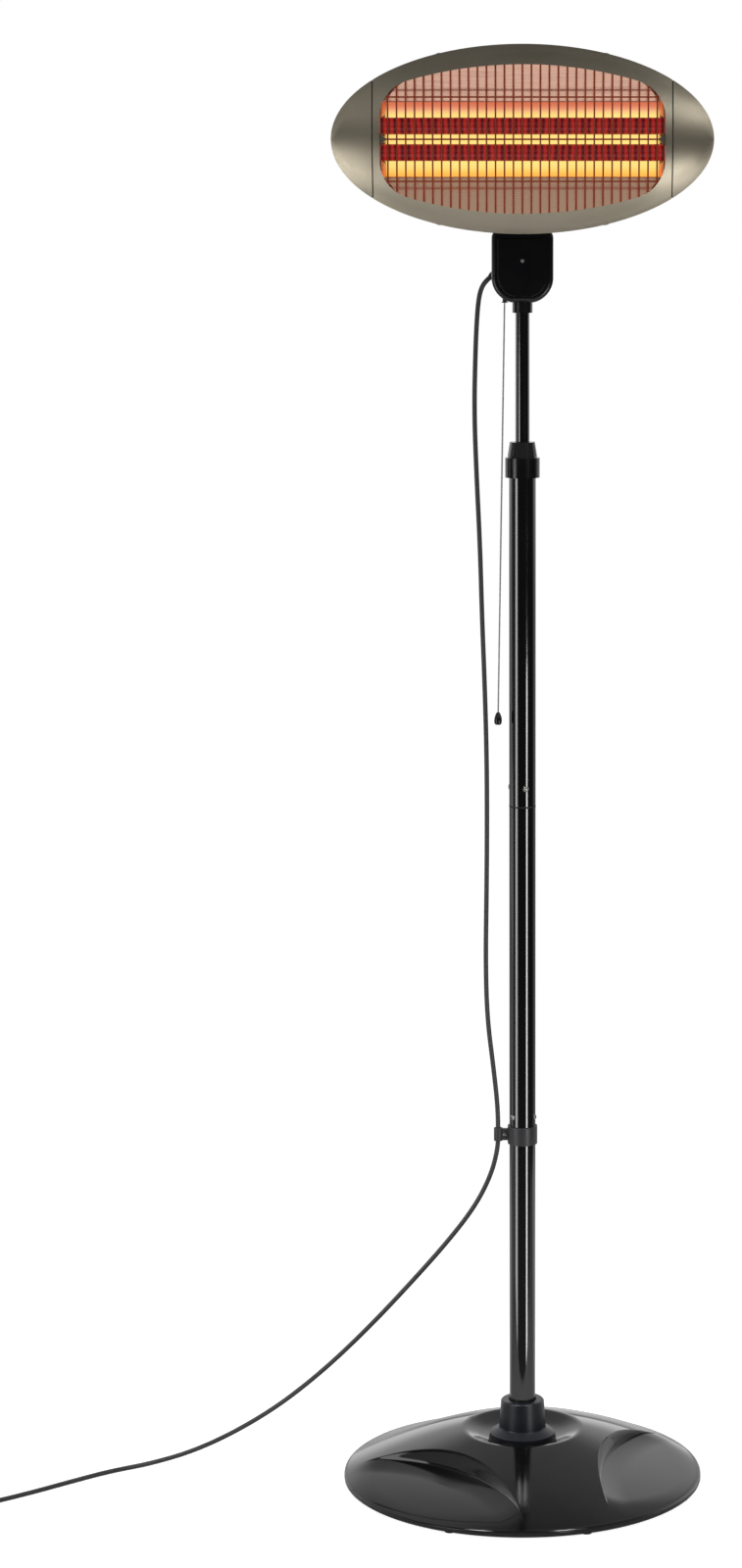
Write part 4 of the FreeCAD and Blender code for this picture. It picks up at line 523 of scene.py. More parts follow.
# Face panel: a slightly raised plate on the front cover, its edge eight millimetres
# inside the cover's outline.
FACE_INSET = 0.008
FACE_HALF = 0.033
FACE_FLAT = 0.010
FACE_CORNER = 0.029
FACE_CORNER_STEPS = 18
FACE_HEIGHT = 0.076
FACE_FRONT = -0.021
FACE_RISE = 0.001
face_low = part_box("neck_front_cover")[0][2] + FACE_INSET


def capped_rings(rows, columns):
    """Quads between rings of points, with a face over each end."""
    last = (rows - 1) * columns
    return ring_faces(rows, columns) + [tuple(range(columns)), tuple(reversed(range(last, last + columns)))]


def face_outline(inset, depth):
    """The panel's edge, from its top left down, along the bottom and up the right."""
    points = []
    for side, start in ((-1, 180), (1, 270)):
        for step in range(FACE_CORNER_STEPS + 1):
            angle = math.radians(start + step * 90 / FACE_CORNER_STEPS)
            x = side * FACE_FLAT + (FACE_HALF - FACE_FLAT - inset) * math.cos(angle)
            points.append((x, depth, face_low + FACE_CORNER + (FACE_CORNER - inset) * math.sin(angle)))
    for side in (1, -1):
        points.append((side * (FACE_HALF - inset), depth, face_low + FACE_HEIGHT - inset))
    return points


face_points = face_outline(0, FACE_FRONT + FACE_RISE)
face_count = len(face_points)
face_points += face_outline(0, FACE_FRONT) + face_outline(FACE_RISE, FACE_FRONT - FACE_RISE)
face_sides = [face[::-1] for face in capped_rings(3, face_count)]
face_panel = new_piece("face_panel", face_points, face_sides, smooth=False)
face_panel.data.materials.append(neck_plastic)
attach(face_panel, "riser")


# Pilot lens: a small clear plastic dome in a thin black ring, pressed into the
# middle of the face panel.
LENS_PLACE = Vector((0, FACE_FRONT - FACE_RISE, 1.6885))
LENS_RING = [(0.0034, 0.0), (0.0034, 0.0006), (0.0030, 0.0009), (0.0026, 0.0006), (0.0022, 0.0005)]
LENS_RADIUS = 0.0021
LENS_BASE = 0.0005
LENS_RISE = 0.0009
LENS_BENDS = (0, 20, 40, 60, 80)
LENS_SIDES = 24
lens_profile = list(LENS_RING)
for bend in LENS_BENDS:
    slant = math.radians(bend)
    lens_profile.append((LENS_RADIUS * math.cos(slant), LENS_BASE + LENS_RISE * math.sin(slant)))
lens_points = []
for radius, rise in lens_profile:
    for step in range(LENS_SIDES):
        angle = -2 * math.pi * step / LENS_SIDES
        lens_points.append(LENS_PLACE + Vector((radius * math.cos(angle), -rise, radius * math.sin(angle))))
pilot_lens = new_piece("pilot_lens", lens_points, capped_rings(len(lens_profile), LENS_SIDES))
clear_lens, clear_tree, clear_shader = new_material("clear_lens")
lens_frost = stretched_noise(clear_tree, 900, 900, 900, 2)
lens_tint = two_tone(clear_tree, lens_frost, tone(112, 112, 114), tone(138, 138, 138))
feed(clear_tree, lens_tint, clear_shader.inputs["Base Color"])
clear_shader.inputs["Roughness"].default_value = 0.12
pilot_lens.data.materials.append(neck_plastic)
pilot_lens.data.materials.append(clear_lens)
for face in pilot_lens.data.polygons:
    face.material_index = 1 if face.index >= LENS_SIDES * len(LENS_RING) else 0
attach(pilot_lens, "riser")


# Case screws: three black cross-head screws that go in from behind and hold the
# neck's two covers together.
CASE_SCREW = (0.006, 0.002, 0.003, 0.026)
CASE_SCREW_SPOTS = ((-0.029, 1.712), (0.029, 1.712), (0.029, 1.662))
black_screw = worked_metal("blackened_screw", tone(40, 40, 41), tone(70, 70, 70), 0.25, 0.4, 0.00002)
case_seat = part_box("neck_screws")[1][1] - CASE_SCREW[1]
case_spots = [(Vector((x, case_seat, z)), Vector((0, 1, 0))) for x, z in CASE_SCREW_SPOTS]
cross_screws("case_screws", case_spots, CASE_SCREW, black_screw, "riser", "neck_screws")


# Tilt hinge: a bolt and nut through the neck's knuckle and the ears of a bent
# steel bracket riveted to the back of the head.
bracket_paint = gloss_paint("bracket_paint", tone(9, 9, 10), tone(16, 16, 16), 0.25, 0.35, 0.00004)
dress(bracket_paint, "head_bracket")
dress(zinc, "pivot_bolt", "pivot_nut", "bracket_rivets")


# Head bezel: a lens-shaped front of satin steel in three pieces, the middle one cut
# out for the lamps and the end caps meeting it at a fine upright seam, drawn dark
# by thin strips laid along it as painted shade.
HEAD_CENTRE = Vector((0, -0.050, 1.846))
HEAD_HALF = (0.250, 0.122)
CAP_HALF = (0.3125, 0.1125, 0.1525)
CAP_MIDDLE = 0.0175
SEAM_ACROSS = 0.1954
SEAM_SHADE_HALF_WIDTH = 0.0008
SEAM_SHADE_LIFT = 0.0001
SEAM_SHADE_SHEET = 0.0003
SEAM_SHADE_REACH = 0.985
SEAM_SHADE_STEPS = 48
RIM_SCREW = (0.0066, 0.0009, 0.0034, 0.007)
RIM_SCREW_PLACE = (0.110, -0.0458)
bezel_steel = worked_metal("satin_steel", tone(168, 159, 140), tone(184, 175, 156), 0.34, 0.44, 0.00002)
bezel_steel.node_tree.nodes["Principled BSDF"].inputs["Anisotropic"].default_value = 0.4
dress(bezel_steel, "bezel", "left_end_cap", "right_end_cap")


def rim_height(across):
    """Half the head's height at a distance from its middle."""
    return HEAD_HALF[1] * math.sqrt(1 - (across / HEAD_HALF[0]) ** 2)


def grid_faces(rows, columns, first=0, flipped=False):
    """Quads over a grid of points that lie row after row from the first."""
    faces = []
    for row in range(rows):
        for column in range(columns):
            low = first + row * (columns + 1) + column
            high = low + columns + 1
            quad = (low, low + 1, high + 1, high)
            faces.append(quad[::-1] if flipped else quad)
    return faces


def make_sheet(piece, thickness):
    """Give a surface its thickness, behind the side that it shows."""
    sheet = piece.modifiers.new("sheet", "SOLIDIFY")
    sheet.thickness = thickness
    sheet.offset = -1


# Seam strips: thin dark sheets along each seam, painted shade for the seam's gap.
seam_shade_points = []
seam_shade_faces = []
for side in (-1, 1):
    seam_shade_faces += grid_faces(SEAM_SHADE_STEPS, 1, len(seam_shade_points), side < 0)
    for step in range(SEAM_SHADE_STEPS + 1):
        up = SEAM_SHADE_REACH * rim_height(SEAM_ACROSS) * (2 * step / SEAM_SHADE_STEPS - 1)
        for x in (SEAM_ACROSS - SEAM_SHADE_HALF_WIDTH, SEAM_ACROSS + SEAM_SHADE_HALF_WIDTH):
            bulge = math.sqrt(1 - (x / CAP_HALF[0]) ** 2 - (up / CAP_HALF[2]) ** 2)
            y = CAP_MIDDLE - CAP_HALF[1] * bulge - SEAM_SHADE_LIFT
            seam_shade_points.append((side * x, y, HEAD_CENTRE.z + up))
seam_shade_strips = new_piece("seam_shade_strips", seam_shade_points, seam_shade_faces)
seam_shade_dark = moulding("seam_shade_dark", tone(26, 24, 20), tone(36, 33, 28), 0.5, 0.65, 0.00002)
seam_shade_strips.data.materials.append(seam_shade_dark)
make_sheet(seam_shade_strips, SEAM_SHADE_SHEET)
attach(seam_shade_strips, "head")

rim_x, rim_y = RIM_SCREW_PLACE
rim_z = rim_height(rim_x)
rim_slant = math.atan2(HEAD_HALF[1] * rim_x / HEAD_HALF[0] ** 2, rim_z / HEAD_HALF[1])
rim_spots = []
for across, up in ((-1, -1), (1, -1), (-1, 1), (1, 1)):
    way = Vector((across * math.sin(rim_slant), 0, up * math.cos(rim_slant)))
    rim_spots.append((Vector((across * rim_x, rim_y, HEAD_CENTRE.z + up * rim_z)), way))
cross_screws("rim_screws", rim_spots, RIM_SCREW, zinc, "head", "bezel_screws")


# Back shell: a black painted steel dish with two rows of vents, tucked inside the
# bezel's skirt.
shell_paint = gloss_paint("shell_paint", tone(8, 8, 9), tone(14, 14, 14), 0.2, 0.3, 0.00005)
dress(shell_paint, "back_shell")


# Reflector: polished aluminium sheet rolled into a trough behind each lamp, with
# wings out to the window's edge whose colour carries a warm painted glow from the lamps.
TROUGH_FOCUS = 0.017
TROUGH_BACK = -0.020
LAMP_HALF_GAP = 0.017
TROUGH_REACH = 0.032
WING_EDGE = (0.100, -0.052)
WING_START = (0.036, 0.044)
WINDOW_HALF = (0.186, 0.0955)
WINDOW_SIDE = 0.0265
WINDOW_CORNER = 0.050
REFLECTOR_MARGIN = 0.003
REFLECTOR_HALF = 0.1838
REFLECTOR_HEIGHT = 0.0983
REFLECTOR_SHEET = 0.0008
REFLECTOR_ROWS = 110
REFLECTOR_COLUMNS = 48


def window_half_width(up):
    """Half the window's width, with the reflector's margin, at a height from its middle."""
    wide = WINDOW_HALF[0] + REFLECTOR_MARGIN
    high = WINDOW_HALF[1] + REFLECTOR_MARGIN
    corner = WINDOW_CORNER + REFLECTOR_MARGIN
    reach = wide - corner
    drop = high - WINDOW_SIDE
    bow = (reach ** 2 + drop ** 2 - corner ** 2) / (2 * (drop - corner))
    up = min(abs(up), high)
    below = WINDOW_SIDE - high + bow
    join = WINDOW_SIDE + corner * below / math.hypot(reach, below)
    if up <= WINDOW_SIDE:
        return min(wide, REFLECTOR_HALF)
    if up <= join:
        return min(reach + math.sqrt(max(corner ** 2 - (up - WINDOW_SIDE) ** 2, 0)), REFLECTOR_HALF)
    return math.sqrt(max(bow ** 2 - (up - high + bow) ** 2, 0))


def trough_depth(up):
    offset = abs(up) - LAMP_HALF_GAP
    if offset <= TROUGH_REACH:
        return TROUGH_BACK - offset ** 2 / (4 * TROUGH_FOCUS)
    edge = TROUGH_BACK - TROUGH_REACH ** 2 / (4 * TROUGH_FOCUS)
    start = LAMP_HALF_GAP + TROUGH_REACH
    return edge + (WING_EDGE[1] - edge) * (abs(up) - start) / (WING_EDGE[0] - start)


def own_axes(tree):
    """The piece's own coordinates, axis by axis."""
    where = add_node(tree, "ShaderNodeTexCoord").outputs["Object"]
    return add_node(tree, "ShaderNodeSeparateXYZ", {"Vector": where}).outputs


mirror = worked_metal("polished_aluminium_painted_glow", tone(225, 214, 208), tone(240, 230, 224), 0.14, 0.28, 0.00001, 0.1)
mirror_tree = mirror.node_tree
mirror_colour = mirror_tree.nodes["Principled BSDF"].inputs["Base Color"]
# Painted glow on the wings: a warm tint that stands in for the lamps' light, lighter on the lower wing than on
# the upper.
mirror_up = calculate(mirror_tree, "SUBTRACT", own_axes(mirror_tree)["Z"], HEAD_CENTRE.z)
painted_glow_wing = map_range(mirror_tree, calculate(mirror_tree, "ABSOLUTE", mirror_up), *WING_START)
painted_glow_side = map_range(mirror_tree, mirror_up, -WING_START[0], WING_START[0])
mirror_painted_glow = two_tone(mirror_tree, painted_glow_side, tone(255, 209, 176), tone(218, 174, 153))
mirror_plain = mirror_colour.links[0].from_socket
feed(mirror_tree, two_tone(mirror_tree, painted_glow_wing, mirror_plain, mirror_painted_glow), mirror_colour)

reflector_points = []
for row in range(-REFLECTOR_ROWS, REFLECTOR_ROWS + 1):
    up = REFLECTOR_HEIGHT * row / REFLECTOR_ROWS
    for column in range(REFLECTOR_COLUMNS + 1):
        x = window_half_width(up) * (2 * column / REFLECTOR_COLUMNS - 1)
        reflector_points.append((x, trough_depth(up), HEAD_CENTRE.z + up))
trough_sheet = new_piece("trough_sheet", reflector_points, grid_faces(2 * REFLECTOR_ROWS, REFLECTOR_COLUMNS))
trough_sheet.data.materials.append(mirror)
make_sheet(trough_sheet, REFLECTOR_SHEET)
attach(trough_sheet, "head")
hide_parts("reflector")


# Lamps: two ruby quartz tubes with a wound element glowing inside, held by white
# ceramic ends on sheet brackets, with plates round them at the trough's ends whose
# pink tint and glow are painted light from the lamps.
LAMP_RADIUS = 0.011
LAMP_DEPTH = -0.037
LAMP_CLEARANCE = 0.0008
QUARTZ_BACK = (0.44, 0.52)
QUARTZ_BRIGHT = 0.85
QUARTZ_GLOW = 1.35
WINDING_SCALE = 36.0
RETURN_INNER = (0.1849, -0.046)
RETURN_OUTER = (0.1885, -0.060)
RETURN_HALF = 0.049
RETURN_STEPS = 6
POINT_TIP = 0.177
POINT_HALF = 0.011


def ramp(tree, factor, stops):
    """Colours along a factor, each at its place."""
    node = add_node(tree, "ShaderNodeValToRGB", {"Fac": factor})
    while len(node.color_ramp.elements) < len(stops):
        node.color_ramp.elements.new(0.5)
    for stop, (place, colour) in zip(node.color_ramp.elements, stops):
        stop.position = place
        stop.color = colour
    return node.outputs["Color"]


def glowing_quartz(name, side_glow, side_reach):
    """Ruby quartz: dark towards the room, bright towards the reflector."""
    material, tree, shader = new_material(name)
    where = add_node(tree, "ShaderNodeTexCoord").outputs["Object"]
    behind = map_range(tree, own_axes(tree)["Y"], LAMP_DEPTH - LAMP_RADIUS, LAMP_DEPTH + LAMP_RADIUS)
    back_glow = ramp(tree, behind, ((side_reach, side_glow), (QUARTZ_BRIGHT, tone(252, 232, 138))))
    coils = {"Vector": where, "Scale": WINDING_SCALE, "Distortion": 2.0, "Detail": 2.0}
    winding = add_node(tree, "ShaderNodeTexWave", coils, wave_type="BANDS", bands_direction="X")
    front_glow = two_tone(tree, winding.outputs["Fac"], tone(56, 2, 8), tone(140, 26, 22))
    whole_glow = two_tone(tree, map_range(tree, behind, *QUARTZ_BACK), front_glow, back_glow)
    feed(tree, whole_glow, shader.inputs["Emission Color"])
    shader.inputs["Emission Strength"].default_value = QUARTZ_GLOW
    shader.inputs["Base Color"].default_value = tone(60, 8, 8)
    shader.inputs["Roughness"].default_value = 0.3
    return material


def patchy_glow(tree, noise, dark, bright, strength):
    """Emission uneven between two tones: a hot winding's own light, or painted glow on a piece that the lamps
    light.
    """
    shader = tree.nodes["Principled BSDF"]
    feed(tree, two_tone(tree, stretched_noise(tree, *noise), dark, bright), shader.inputs["Emission Color"])
    shader.inputs["Emission Strength"].default_value = strength


dress(glowing_quartz("upper_quartz", tone(232, 160, 136), 0.68), "upper_quartz_tube")
dress(glowing_quartz("lower_quartz", tone(250, 212, 110), 0.55), "lower_quartz_tube")
element, element_tree, element_shader = new_material("hot_winding")
element_shader.inputs["Base Color"].default_value = tone(90, 40, 30)
patchy_glow(element_tree, (300, 20, 20, 2), (0.9, 0.12, 0.02, 1), (1.0, 0.35, 0.06, 1), strength=1.2)
dress(element, "upper_element", "lower_element")
ceramic = moulding("steatite_ceramic", tone(214, 208, 196), tone(228, 222, 212), 0.35, 0.5, 0.0001)
dress(ceramic, "ceramic_holders")
lamp_steel = worked_metal("lamp_steel", tone(176, 168, 160), tone(196, 188, 180), 0.2, 0.32, 0.00002)
dress(lamp_steel, "lamp_brackets")
dress(bush_plastic, "terminal_block")

return_points = []
return_faces = []


def end_plate(side, low, high, steps, edges):
    """A plate between two edges, which a function gives for each height."""
    return_faces.extend(grid_faces(steps, 1, len(return_points), side < 0))
    for step in range(steps + 1):
        up = low + (high - low) * step / steps
        for x, y in edges(up):
            return_points.append((side * x, y, HEAD_CENTRE.z + up))


def front_edges(up):
    return RETURN_INNER, RETURN_OUTER


def back_edges(up):
    return (REFLECTOR_HALF, trough_depth(up)), RETURN_INNER


past_lamp = LAMP_HALF_GAP + LAMP_RADIUS + LAMP_CLEARANCE
before_lamp = LAMP_HALF_GAP - LAMP_RADIUS - LAMP_CLEARANCE
for side in (-1, 1):
    end_plate(side, -RETURN_HALF, RETURN_HALF, 1, front_edges)
    for low, high in ((-RETURN_HALF, -past_lamp), (-before_lamp, before_lamp), (past_lamp, RETURN_HALF)):
        end_plate(side, low, high, RETURN_STEPS, back_edges)
    first = len(return_points)
    for x, up in ((RETURN_OUTER[0], -POINT_HALF), (POINT_TIP, 0), (RETURN_OUTER[0], POINT_HALF)):
        return_points.append((side * x, RETURN_OUTER[1], HEAD_CENTRE.z + up))
    return_faces.append((first, first + 1, first + 2)[::side])
end_returns = new_piece("end_returns", return_points, return_faces, smooth=False)
# The end plates' pink colour and patchy emission are painted glow: the lamps' light on them, not their own.
end_painted_glow = worked_metal("end_sheet_painted_glow", tone(214, 150, 130), tone(230, 170, 146), 0.4, 0.5, 0.00001)
patchy_glow(end_painted_glow.node_tree, (20, 20, 60, 2), tone(150, 58, 46), tone(196, 104, 84), strength=0.6)
end_returns.data.materials.append(end_painted_glow)
end_returns.data.materials.append(bezel_steel)
for face in end_returns.data.polygons:
    face.material_index = 1 if len(face.vertices) == 3 else 0
make_sheet(end_returns, REFLECTOR_SHEET)
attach(end_returns, "head")


# Guard: thin steel wires behind the window, welded upright to three cross bars,
# brass coloured by the heat, and given a patchy emission that is painted glow from
# the lamps.
guard_wire = worked_metal("heat_tinted_wire_painted_glow", tone(112, 74, 60), tone(136, 92, 72), 0.3, 0.4, 0.00001)
patchy_glow(guard_wire.node_tree, (30, 30, 30, 2), tone(92, 26, 18), tone(122, 44, 24), strength=0.8)
dress(guard_wire, "wire_guard")


# Mains lead: three metres of round black flex. It leaves the gland, hangs to the
# clip, falls to the floor and runs off to a small tied coil with its plug.
LEAD_RADIUS = 0.0033
LEAD_SIDES = 14
LEAD_IN_RUN = 0.0406
COIL_CENTRE = Vector((-0.757, -0.193, 0))
COIL_HEADING = Vector((-0.76, -0.65, 0)).normalized()
COIL_RADIUS = 0.041
COIL_PITCH = 0.008
COIL_LEVEL = 0.0034
COIL_QUARTERS = 5
COIL_END = COIL_QUARTERS * 2 + 2
COIL_STEPS = 4
COIL_NEAR = 0.001
TAIL_GAP = 0.0066
TAIL_RUNS = (0.016, 0.033)
TAIL_SWAY = 0.003
TAIL_LIFT = 0.003
PLUG_REACH = 0.062
PLUG_ASIDE = 0.018
PLUG_LEVEL = 0.0185
PLUG_TURN = 0.5
PLUG_RUN = 0.015
lead_places = [
    (-0.04266, 0, 1.66657),
    (-0.04955, 0, 1.66079),
    (-0.0553, 0, 1.6505),
    (-0.0584, 0, 1.636),
    (-0.0606, 0, 1.611),
    (-0.0626, 0, 1.568),
    (-0.0644, 0, 1.490),
    (-0.0615, 0, 1.405),
    (-0.057, 0, 1.310),
    (-0.0545, 0, 1.215),
    (-0.051, 0, 1.120),
    (-0.0485, 0, 1.025),
    (-0.0482, 0, 0.930),
    (-0.049, 0, 0.835),
    (-0.0505, 0, 0.740),
    (-0.0485, 0, 0.660),
    (-0.040, 0, 0.590),
    (-0.0342, 0, 0.535),
    (-0.0335, 0, 0.495),
    (-0.0345, 0, 0.472),
    (-0.044, 0.001, 0.435),
    (-0.066, 0.004, 0.390),
    (-0.104, 0.010, 0.338),
    (-0.156, 0.017, 0.276),
    (-0.214, 0.026, 0.210),
    (-0.276, 0.036, 0.146),
    (-0.340, 0.046, 0.090),
    (-0.404, 0.054, 0.047),
    (-0.466, 0.054, 0.017),
    (-0.525, 0.040, COIL_LEVEL),
    (-0.580, 0.008, COIL_LEVEL),
    (-0.632, -0.036, COIL_LEVEL),
    (-0.684, -0.082, COIL_LEVEL),
]
lead_route = [Vector(place) for place in lead_places]
coil_start = math.atan2(-COIL_HEADING.x, COIL_HEADING.y)


def coil_point(quarter):
    """The lead's place after some quarter turns: in on one layer, out on the next."""
    inward = min(quarter, COIL_END - quarter, COIL_QUARTERS)
    radius = COIL_RADIUS - COIL_PITCH * inward / 4
    climb = min(max((quarter - COIL_QUARTERS) / 2, 0), 1)
    angle = coil_start + math.pi / 2 * quarter
    level = COIL_LEVEL + COIL_PITCH * climb
    return COIL_CENTRE + Vector((math.cos(angle) * radius, math.sin(angle) * radius, level))


lead_in = (coil_point(COIL_NEAR) - coil_point(0)).normalized()
lead_route.append(coil_point(0) - lead_in * LEAD_IN_RUN)
for step in range(COIL_END * COIL_STEPS + 1):
    lead_route.append(coil_point(step / COIL_STEPS))
coil_last = coil_point(COIL_END)
coil_out = (coil_last - coil_point(COIL_END - COIL_NEAR)).normalized()
coil_aside = Vector((-coil_out.y, coil_out.x, 0))
tail_start = coil_last + coil_out * TAIL_GAP
plug_tip = tail_start + coil_out * PLUG_REACH + coil_aside * PLUG_ASIDE
plug_tip.z = PLUG_LEVEL
plug_heading = (coil_out + coil_aside * PLUG_TURN).normalized()
lead_route += [
    tail_start + coil_out * TAIL_RUNS[0],
    tail_start + coil_out * TAIL_RUNS[1] + coil_aside * TAIL_SWAY + Vector((0, 0, TAIL_LIFT)),
    plug_tip - plug_heading * PLUG_RUN,
    plug_tip,
]


def smooth_line(name, route):
    """Points read from the smooth line that a route controls."""
    curve = bpy.data.curves.new(name, "CURVE")
    curve.dimensions = "3D"
    curve.resolution_u = 10
    spline = curve.splines.new("NURBS")
    spline.points.add(len(route) - 1)
    for point, place in zip(spline.points, route):
        point.co = (*place, 1.0)
    spline.order_u = 3
    spline.use_endpoint_u = True
    holder = bpy.data.objects.new(name, curve)
    bpy.context.scene.collection.objects.link(holder)
    line = bpy.data.meshes.new_from_object(holder)
    points = [vertex.co.copy() for vertex in line.vertices]
    bpy.data.objects.remove(holder)
    bpy.data.curves.remove(curve)
    bpy.data.meshes.remove(line)
    return points


def line_frames(points):
    """A point, and two directions square to the line there, carried along untwisted."""
    frames = []
    side = None
    for index, point in enumerate(points):
        ahead = points[min(index + 1, len(points) - 1)] - points[max(index - 1, 0)]
        ahead.normalize()
        if side is None:
            side = ahead.orthogonal().normalized()
        side = (side - ahead * side.dot(ahead)).normalized()
        frames.append((point, side, ahead.cross(side)))
    return frames


def tube_mesh(points, radius, sides):
    rings = []
    for point, side, other in line_frames(points):
        for step in range(sides):
            angle = 2 * math.pi * step / sides
            rings.append(point + side * (radius * math.cos(angle)) + other * (radius * math.sin(angle)))
    return rings, [face[::-1] for face in capped_rings(len(points), sides)]


def line_length(points):
    return sum((after - before).length for before, after in zip(points, points[1:]))


lead_line = smooth_line("lead_line", lead_route)
mains_lead = new_piece("mains_lead", *tube_mesh(lead_line, LEAD_RADIUS, LEAD_SIDES))
lead_vinyl = moulding("lead_vinyl", tone(56, 56, 58), tone(70, 70, 72), 0.34, 0.46, 0.00004)
mains_lead.data.materials.append(lead_vinyl)
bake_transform(mains_lead)
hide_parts("cord_upper", "cord_lower", "cord_coil", "cord_tail")
dress(clip_plastic, "cord_tie", "plug")
pin_brass = worked_metal("pin_brass", tone(196, 176, 120), tone(214, 196, 146), 0.18, 0.3, 0.00001)
dress(pin_brass, "plug_pins")


# Pull cord: three thin grey strands laid up into a cord that hangs from the bush
# under the neck, with a small black bell to hold at its end.
PULL_TOP = Vector((-0.0234, -0.009, 1.652))
PULL_END = Vector((-0.0328, -0.009, 1.0851))
STRANDS = 3
STRAND_RADIUS = 0.0006
STRAND_LAY = 0.006
STRAND_STEPS = 8
STRAND_SIDES = 6
pull_route = [PULL_TOP.lerp(PULL_END, share) for share in (0, 0.25, 0.5, 0.75, 1)]
pull_line = smooth_line("pull_line", pull_route)
pull_length = line_length(pull_line)
strand_turns = int(pull_length / STRAND_LAY)
strand_points = []
strand_faces = []
for strand in range(STRANDS):
    way = []
    for step in range(strand_turns * STRAND_STEPS + 1):
        share = step / (strand_turns * STRAND_STEPS)
        place = share * (len(pull_line) - 1)
        before = min(int(place), len(pull_line) - 2)
        middle = pull_line[before].lerp(pull_line[before + 1], place - before)
        angle = 2 * math.pi * (share * strand_turns + strand / STRANDS)
        way.append(middle + Vector((math.cos(angle), math.sin(angle), 0)) * STRAND_RADIUS)
    points, faces = tube_mesh(way, STRAND_RADIUS, STRAND_SIDES)
    strand_faces += [tuple(index + len(strand_points) for index in face) for face in faces]
    strand_points += points
pull_strands = new_piece("pull_strands", strand_points, strand_faces)
strand_nylon = moulding("strand_nylon", tone(150, 150, 148), tone(176, 176, 174), 0.5, 0.65, 0.00003)
pull_strands.data.materials.append(strand_nylon)
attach(pull_strands, "pull")
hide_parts("pull_cord")
dress(grip_plastic, "pull_bell")


# Studio: a white floor that shines behind the part, a pale room, tall lamps that
# draw the pole's upright highlights, and small ones for the rim and the head.
FLOOR_LEFT = -6.0
FLOOR_RIGHT = 1.6
FLOOR_FRONT = -0.45
FLOOR_BACK = 12.0
FLOOR_GREY = 0.45
FLOOR_SEEN = 0.88
FLOOR_POOL_REACH = 2.0
FLOOR_POOL = ((0.05, 0.05), (0.2, 0.5), (0.5, 0.5), (0.8, 0.05))
ROOM_TURN = (0.05, 0.6)
ROOM_RISE = (-0.8, 1.0)
# Grey levels from below the horizon to overhead, in front of the part and behind it.
ROOM_FRONT = (
    (0.0, 0.5), (0.14, 0.4), (0.25, 0.11), (0.32, 0.03), (0.45, 0.03),
    (0.56, 0.2), (0.68, 0.6), (0.8, 0.25), (1.0, 0.12),
)
ROOM_BEHIND = (
    (0.25, 0.25), (0.38, 0.35), (0.43, 1.5), (0.5, 1.4), (0.57, 0.95),
    (0.65, 0.95), (0.77, 0.5), (0.91, 0.5), (1.0, 0.4),
)
# The photograph's height and the camera's focal length and shift, in pixels.
PHOTO_HEIGHT = 1600
FOCAL_LENGTH = 3854.0
VIEW_SHIFT = (-154.5, 70.0)
SENSOR = 36.0
CAMERA_PLACE = (0, -5.063, 1.829)
CAMERA_DIP = 10.50


def grey_ramp(tree, factor, stops):
    return ramp(tree, factor, [(place, (level, level, level, 1)) for place, level in stops])


floor_corners = [(FLOOR_LEFT, FLOOR_FRONT, 0), (FLOOR_RIGHT, FLOOR_FRONT, 0)]
floor_corners += [(FLOOR_RIGHT, FLOOR_BACK, 0), (FLOOR_LEFT, FLOOR_BACK, 0)]
floor = new_piece("studio_floor", floor_corners, [(0, 1, 2, 3)], smooth=False)
floor_white, floor_tree, floor_shader = new_material("studio_floor_white")
floor_shader.inputs["Base Color"].default_value = (FLOOR_GREY, FLOOR_GREY, FLOOR_GREY, 1)
floor_shader.inputs["Roughness"].default_value = 0.9
floor_shader.inputs["Specular IOR Level"].default_value = 0.0
floor_shader.inputs["Emission Color"].default_value = (1, 1, 1, 1)
floor_rays = add_node(floor_tree, "ShaderNodeLightPath").outputs
floor_behind = map_range(floor_tree, own_axes(floor_tree)["Y"], 0.0, FLOOR_POOL_REACH)
floor_pool = grey_ramp(floor_tree, floor_behind, FLOOR_POOL)
floor_mirrored = calculate(floor_tree, "MULTIPLY", floor_rays["Is Glossy Ray"], floor_pool)
floor_glow = calculate(floor_tree, "MULTIPLY_ADD", floor_rays["Is Camera Ray"], FLOOR_SEEN, floor_mirrored)
feed(floor_tree, floor_glow, floor_shader.inputs["Emission Strength"])
floor.data.materials.append(floor_white)

world = bpy.data.worlds.new("studio_room")
bpy.context.scene.world = world
world.use_nodes = True
room = world.node_tree
room_way = add_node(room, "ShaderNodeTexCoord").outputs["Generated"]
room_axes = add_node(room, "ShaderNodeSeparateXYZ", {"Vector": room_way}).outputs
room_turn = map_range(room, room_axes["Y"], *ROOM_TURN, interpolation_type="SMOOTHSTEP")
room_rise = map_range(room, room_axes["Z"], *ROOM_RISE)
room_front = grey_ramp(room, room_rise, ROOM_FRONT)
room_behind = grey_ramp(room, room_rise, ROOM_BEHIND)
room_light = room.nodes["Background"]
feed(room, two_tone(room, room_turn, room_front, room_behind), room_light.inputs["Color"])
room_white = add_node(room, "ShaderNodeBackground", {"Color": (1, 1, 1, 1), "Strength": 1.0})
room_rays = add_node(room, "ShaderNodeLightPath").outputs
room_seen = calculate(room, "MAXIMUM", room_rays["Is Camera Ray"], room_rays["Is Transmission Ray"])
room_shades = {"Fac": room_seen, 1: room_light.outputs["Background"], 2: room_white.outputs["Background"]}
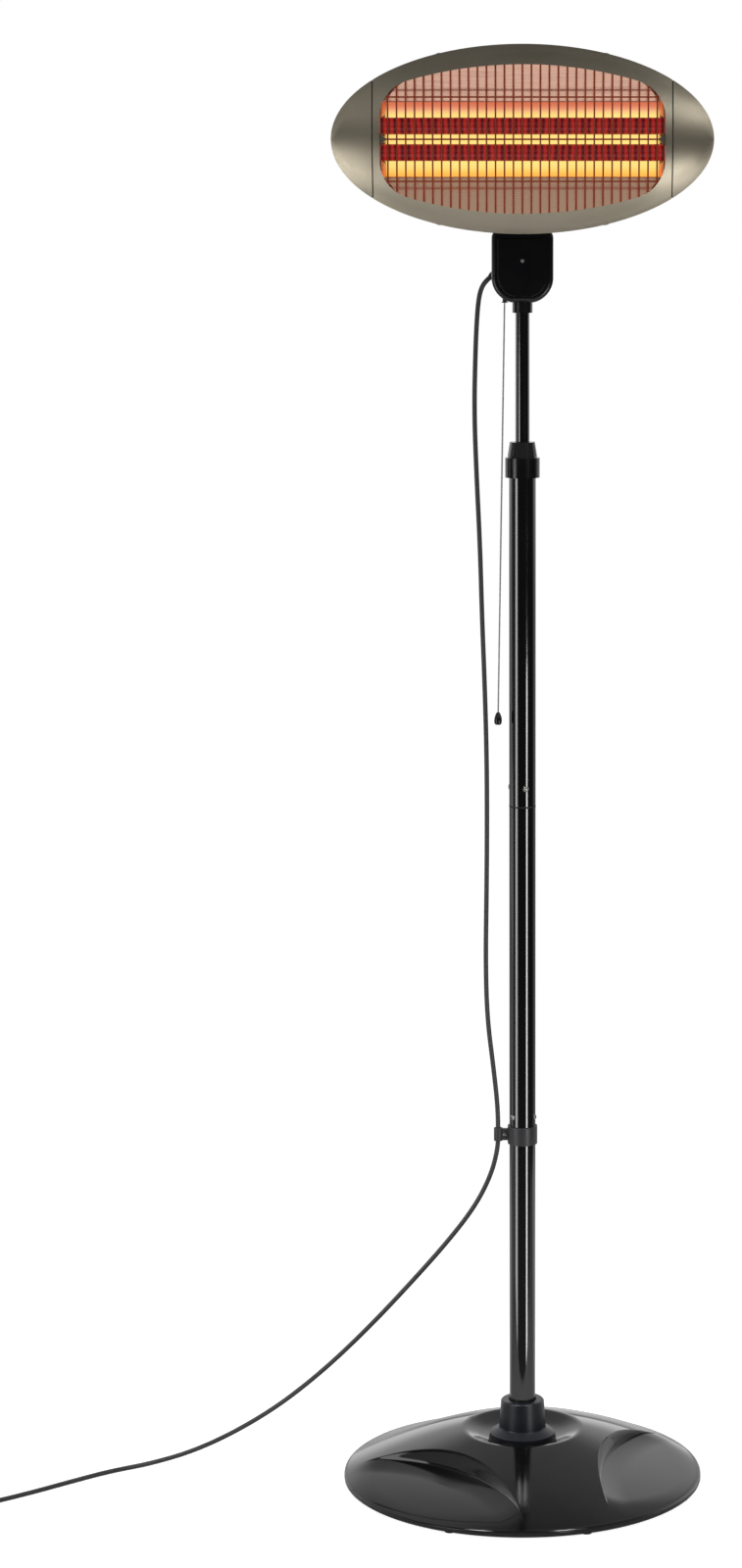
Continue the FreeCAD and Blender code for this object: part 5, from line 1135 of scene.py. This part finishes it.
room_mix = add_node(room, "ShaderNodeMixShader", room_shades)
feed(room, room_mix.outputs["Shader"], room.nodes["World Output"].inputs["Surface"])


def soft_lamp(name, place, target, width, height, watts, spread_angle=180):
    lamp = bpy.data.lights.new(name, "AREA")
    lamp.shape = "RECTANGLE"
    lamp.size = width
    lamp.size_y = height
    lamp.energy = watts
    lamp.spread = math.radians(spread_angle)
    holder = bpy.data.objects.new(name, lamp)
    bpy.context.scene.collection.objects.link(holder)
    aim = (Vector(target) - Vector(place)).to_track_quat("-Z", "Y")
    holder.matrix_world = Matrix.Translation(place) @ aim.to_matrix().to_4x4()


soft_lamp("left_strip", (-2.7, -2.0, 0.2), (0, 0, 0.2), 1.2, 2.4, 27)
soft_lamp("left_wall", (-3.6, 1.4, 0.9), (0, 1.4, 0.9), 2.8, 3.2, 14)
soft_lamp("right_strip", (2.1, -2.6, -0.15), (0, 0, -0.15), 0.7, 1.7, 25)
soft_lamp("front_low_card", (0.0, -2.5, 0.05), (0, -0.04, 1.895), 1.6, 1.2, 0.18, 40)
soft_lamp("left_rim_strip", (-1.5, -1.2, 4.0), (-0.1, -0.25, 0), 1.0, 0.5, 1.4, 24)
soft_lamp("right_rim_strip", (1.5, -1.2, 4.0), (0.1, -0.25, 0), 1.0, 0.5, 1.4, 24)
soft_lamp("right_high_soft", (2.4, -2.0, 3.2), (0, 0, 1.8), 0.9, 0.9, 8)

camera = bpy.data.cameras.new("photo_camera")
camera.sensor_fit = "VERTICAL"
camera.sensor_height = SENSOR
camera.lens = FOCAL_LENGTH * SENSOR / PHOTO_HEIGHT
camera.shift_x = VIEW_SHIFT[0] / PHOTO_HEIGHT
camera.shift_y = VIEW_SHIFT[1] / PHOTO_HEIGHT
camera.clip_end = 60
viewer = bpy.data.objects.new("photo_camera", camera)
bpy.context.scene.collection.objects.link(viewer)
viewer.location = CAMERA_PLACE
viewer.rotation_euler = (math.radians(90 - CAMERA_DIP), 0, 0)
bpy.context.scene.camera = viewer
bpy.context.scene.view_settings.view_transform = "Standard"
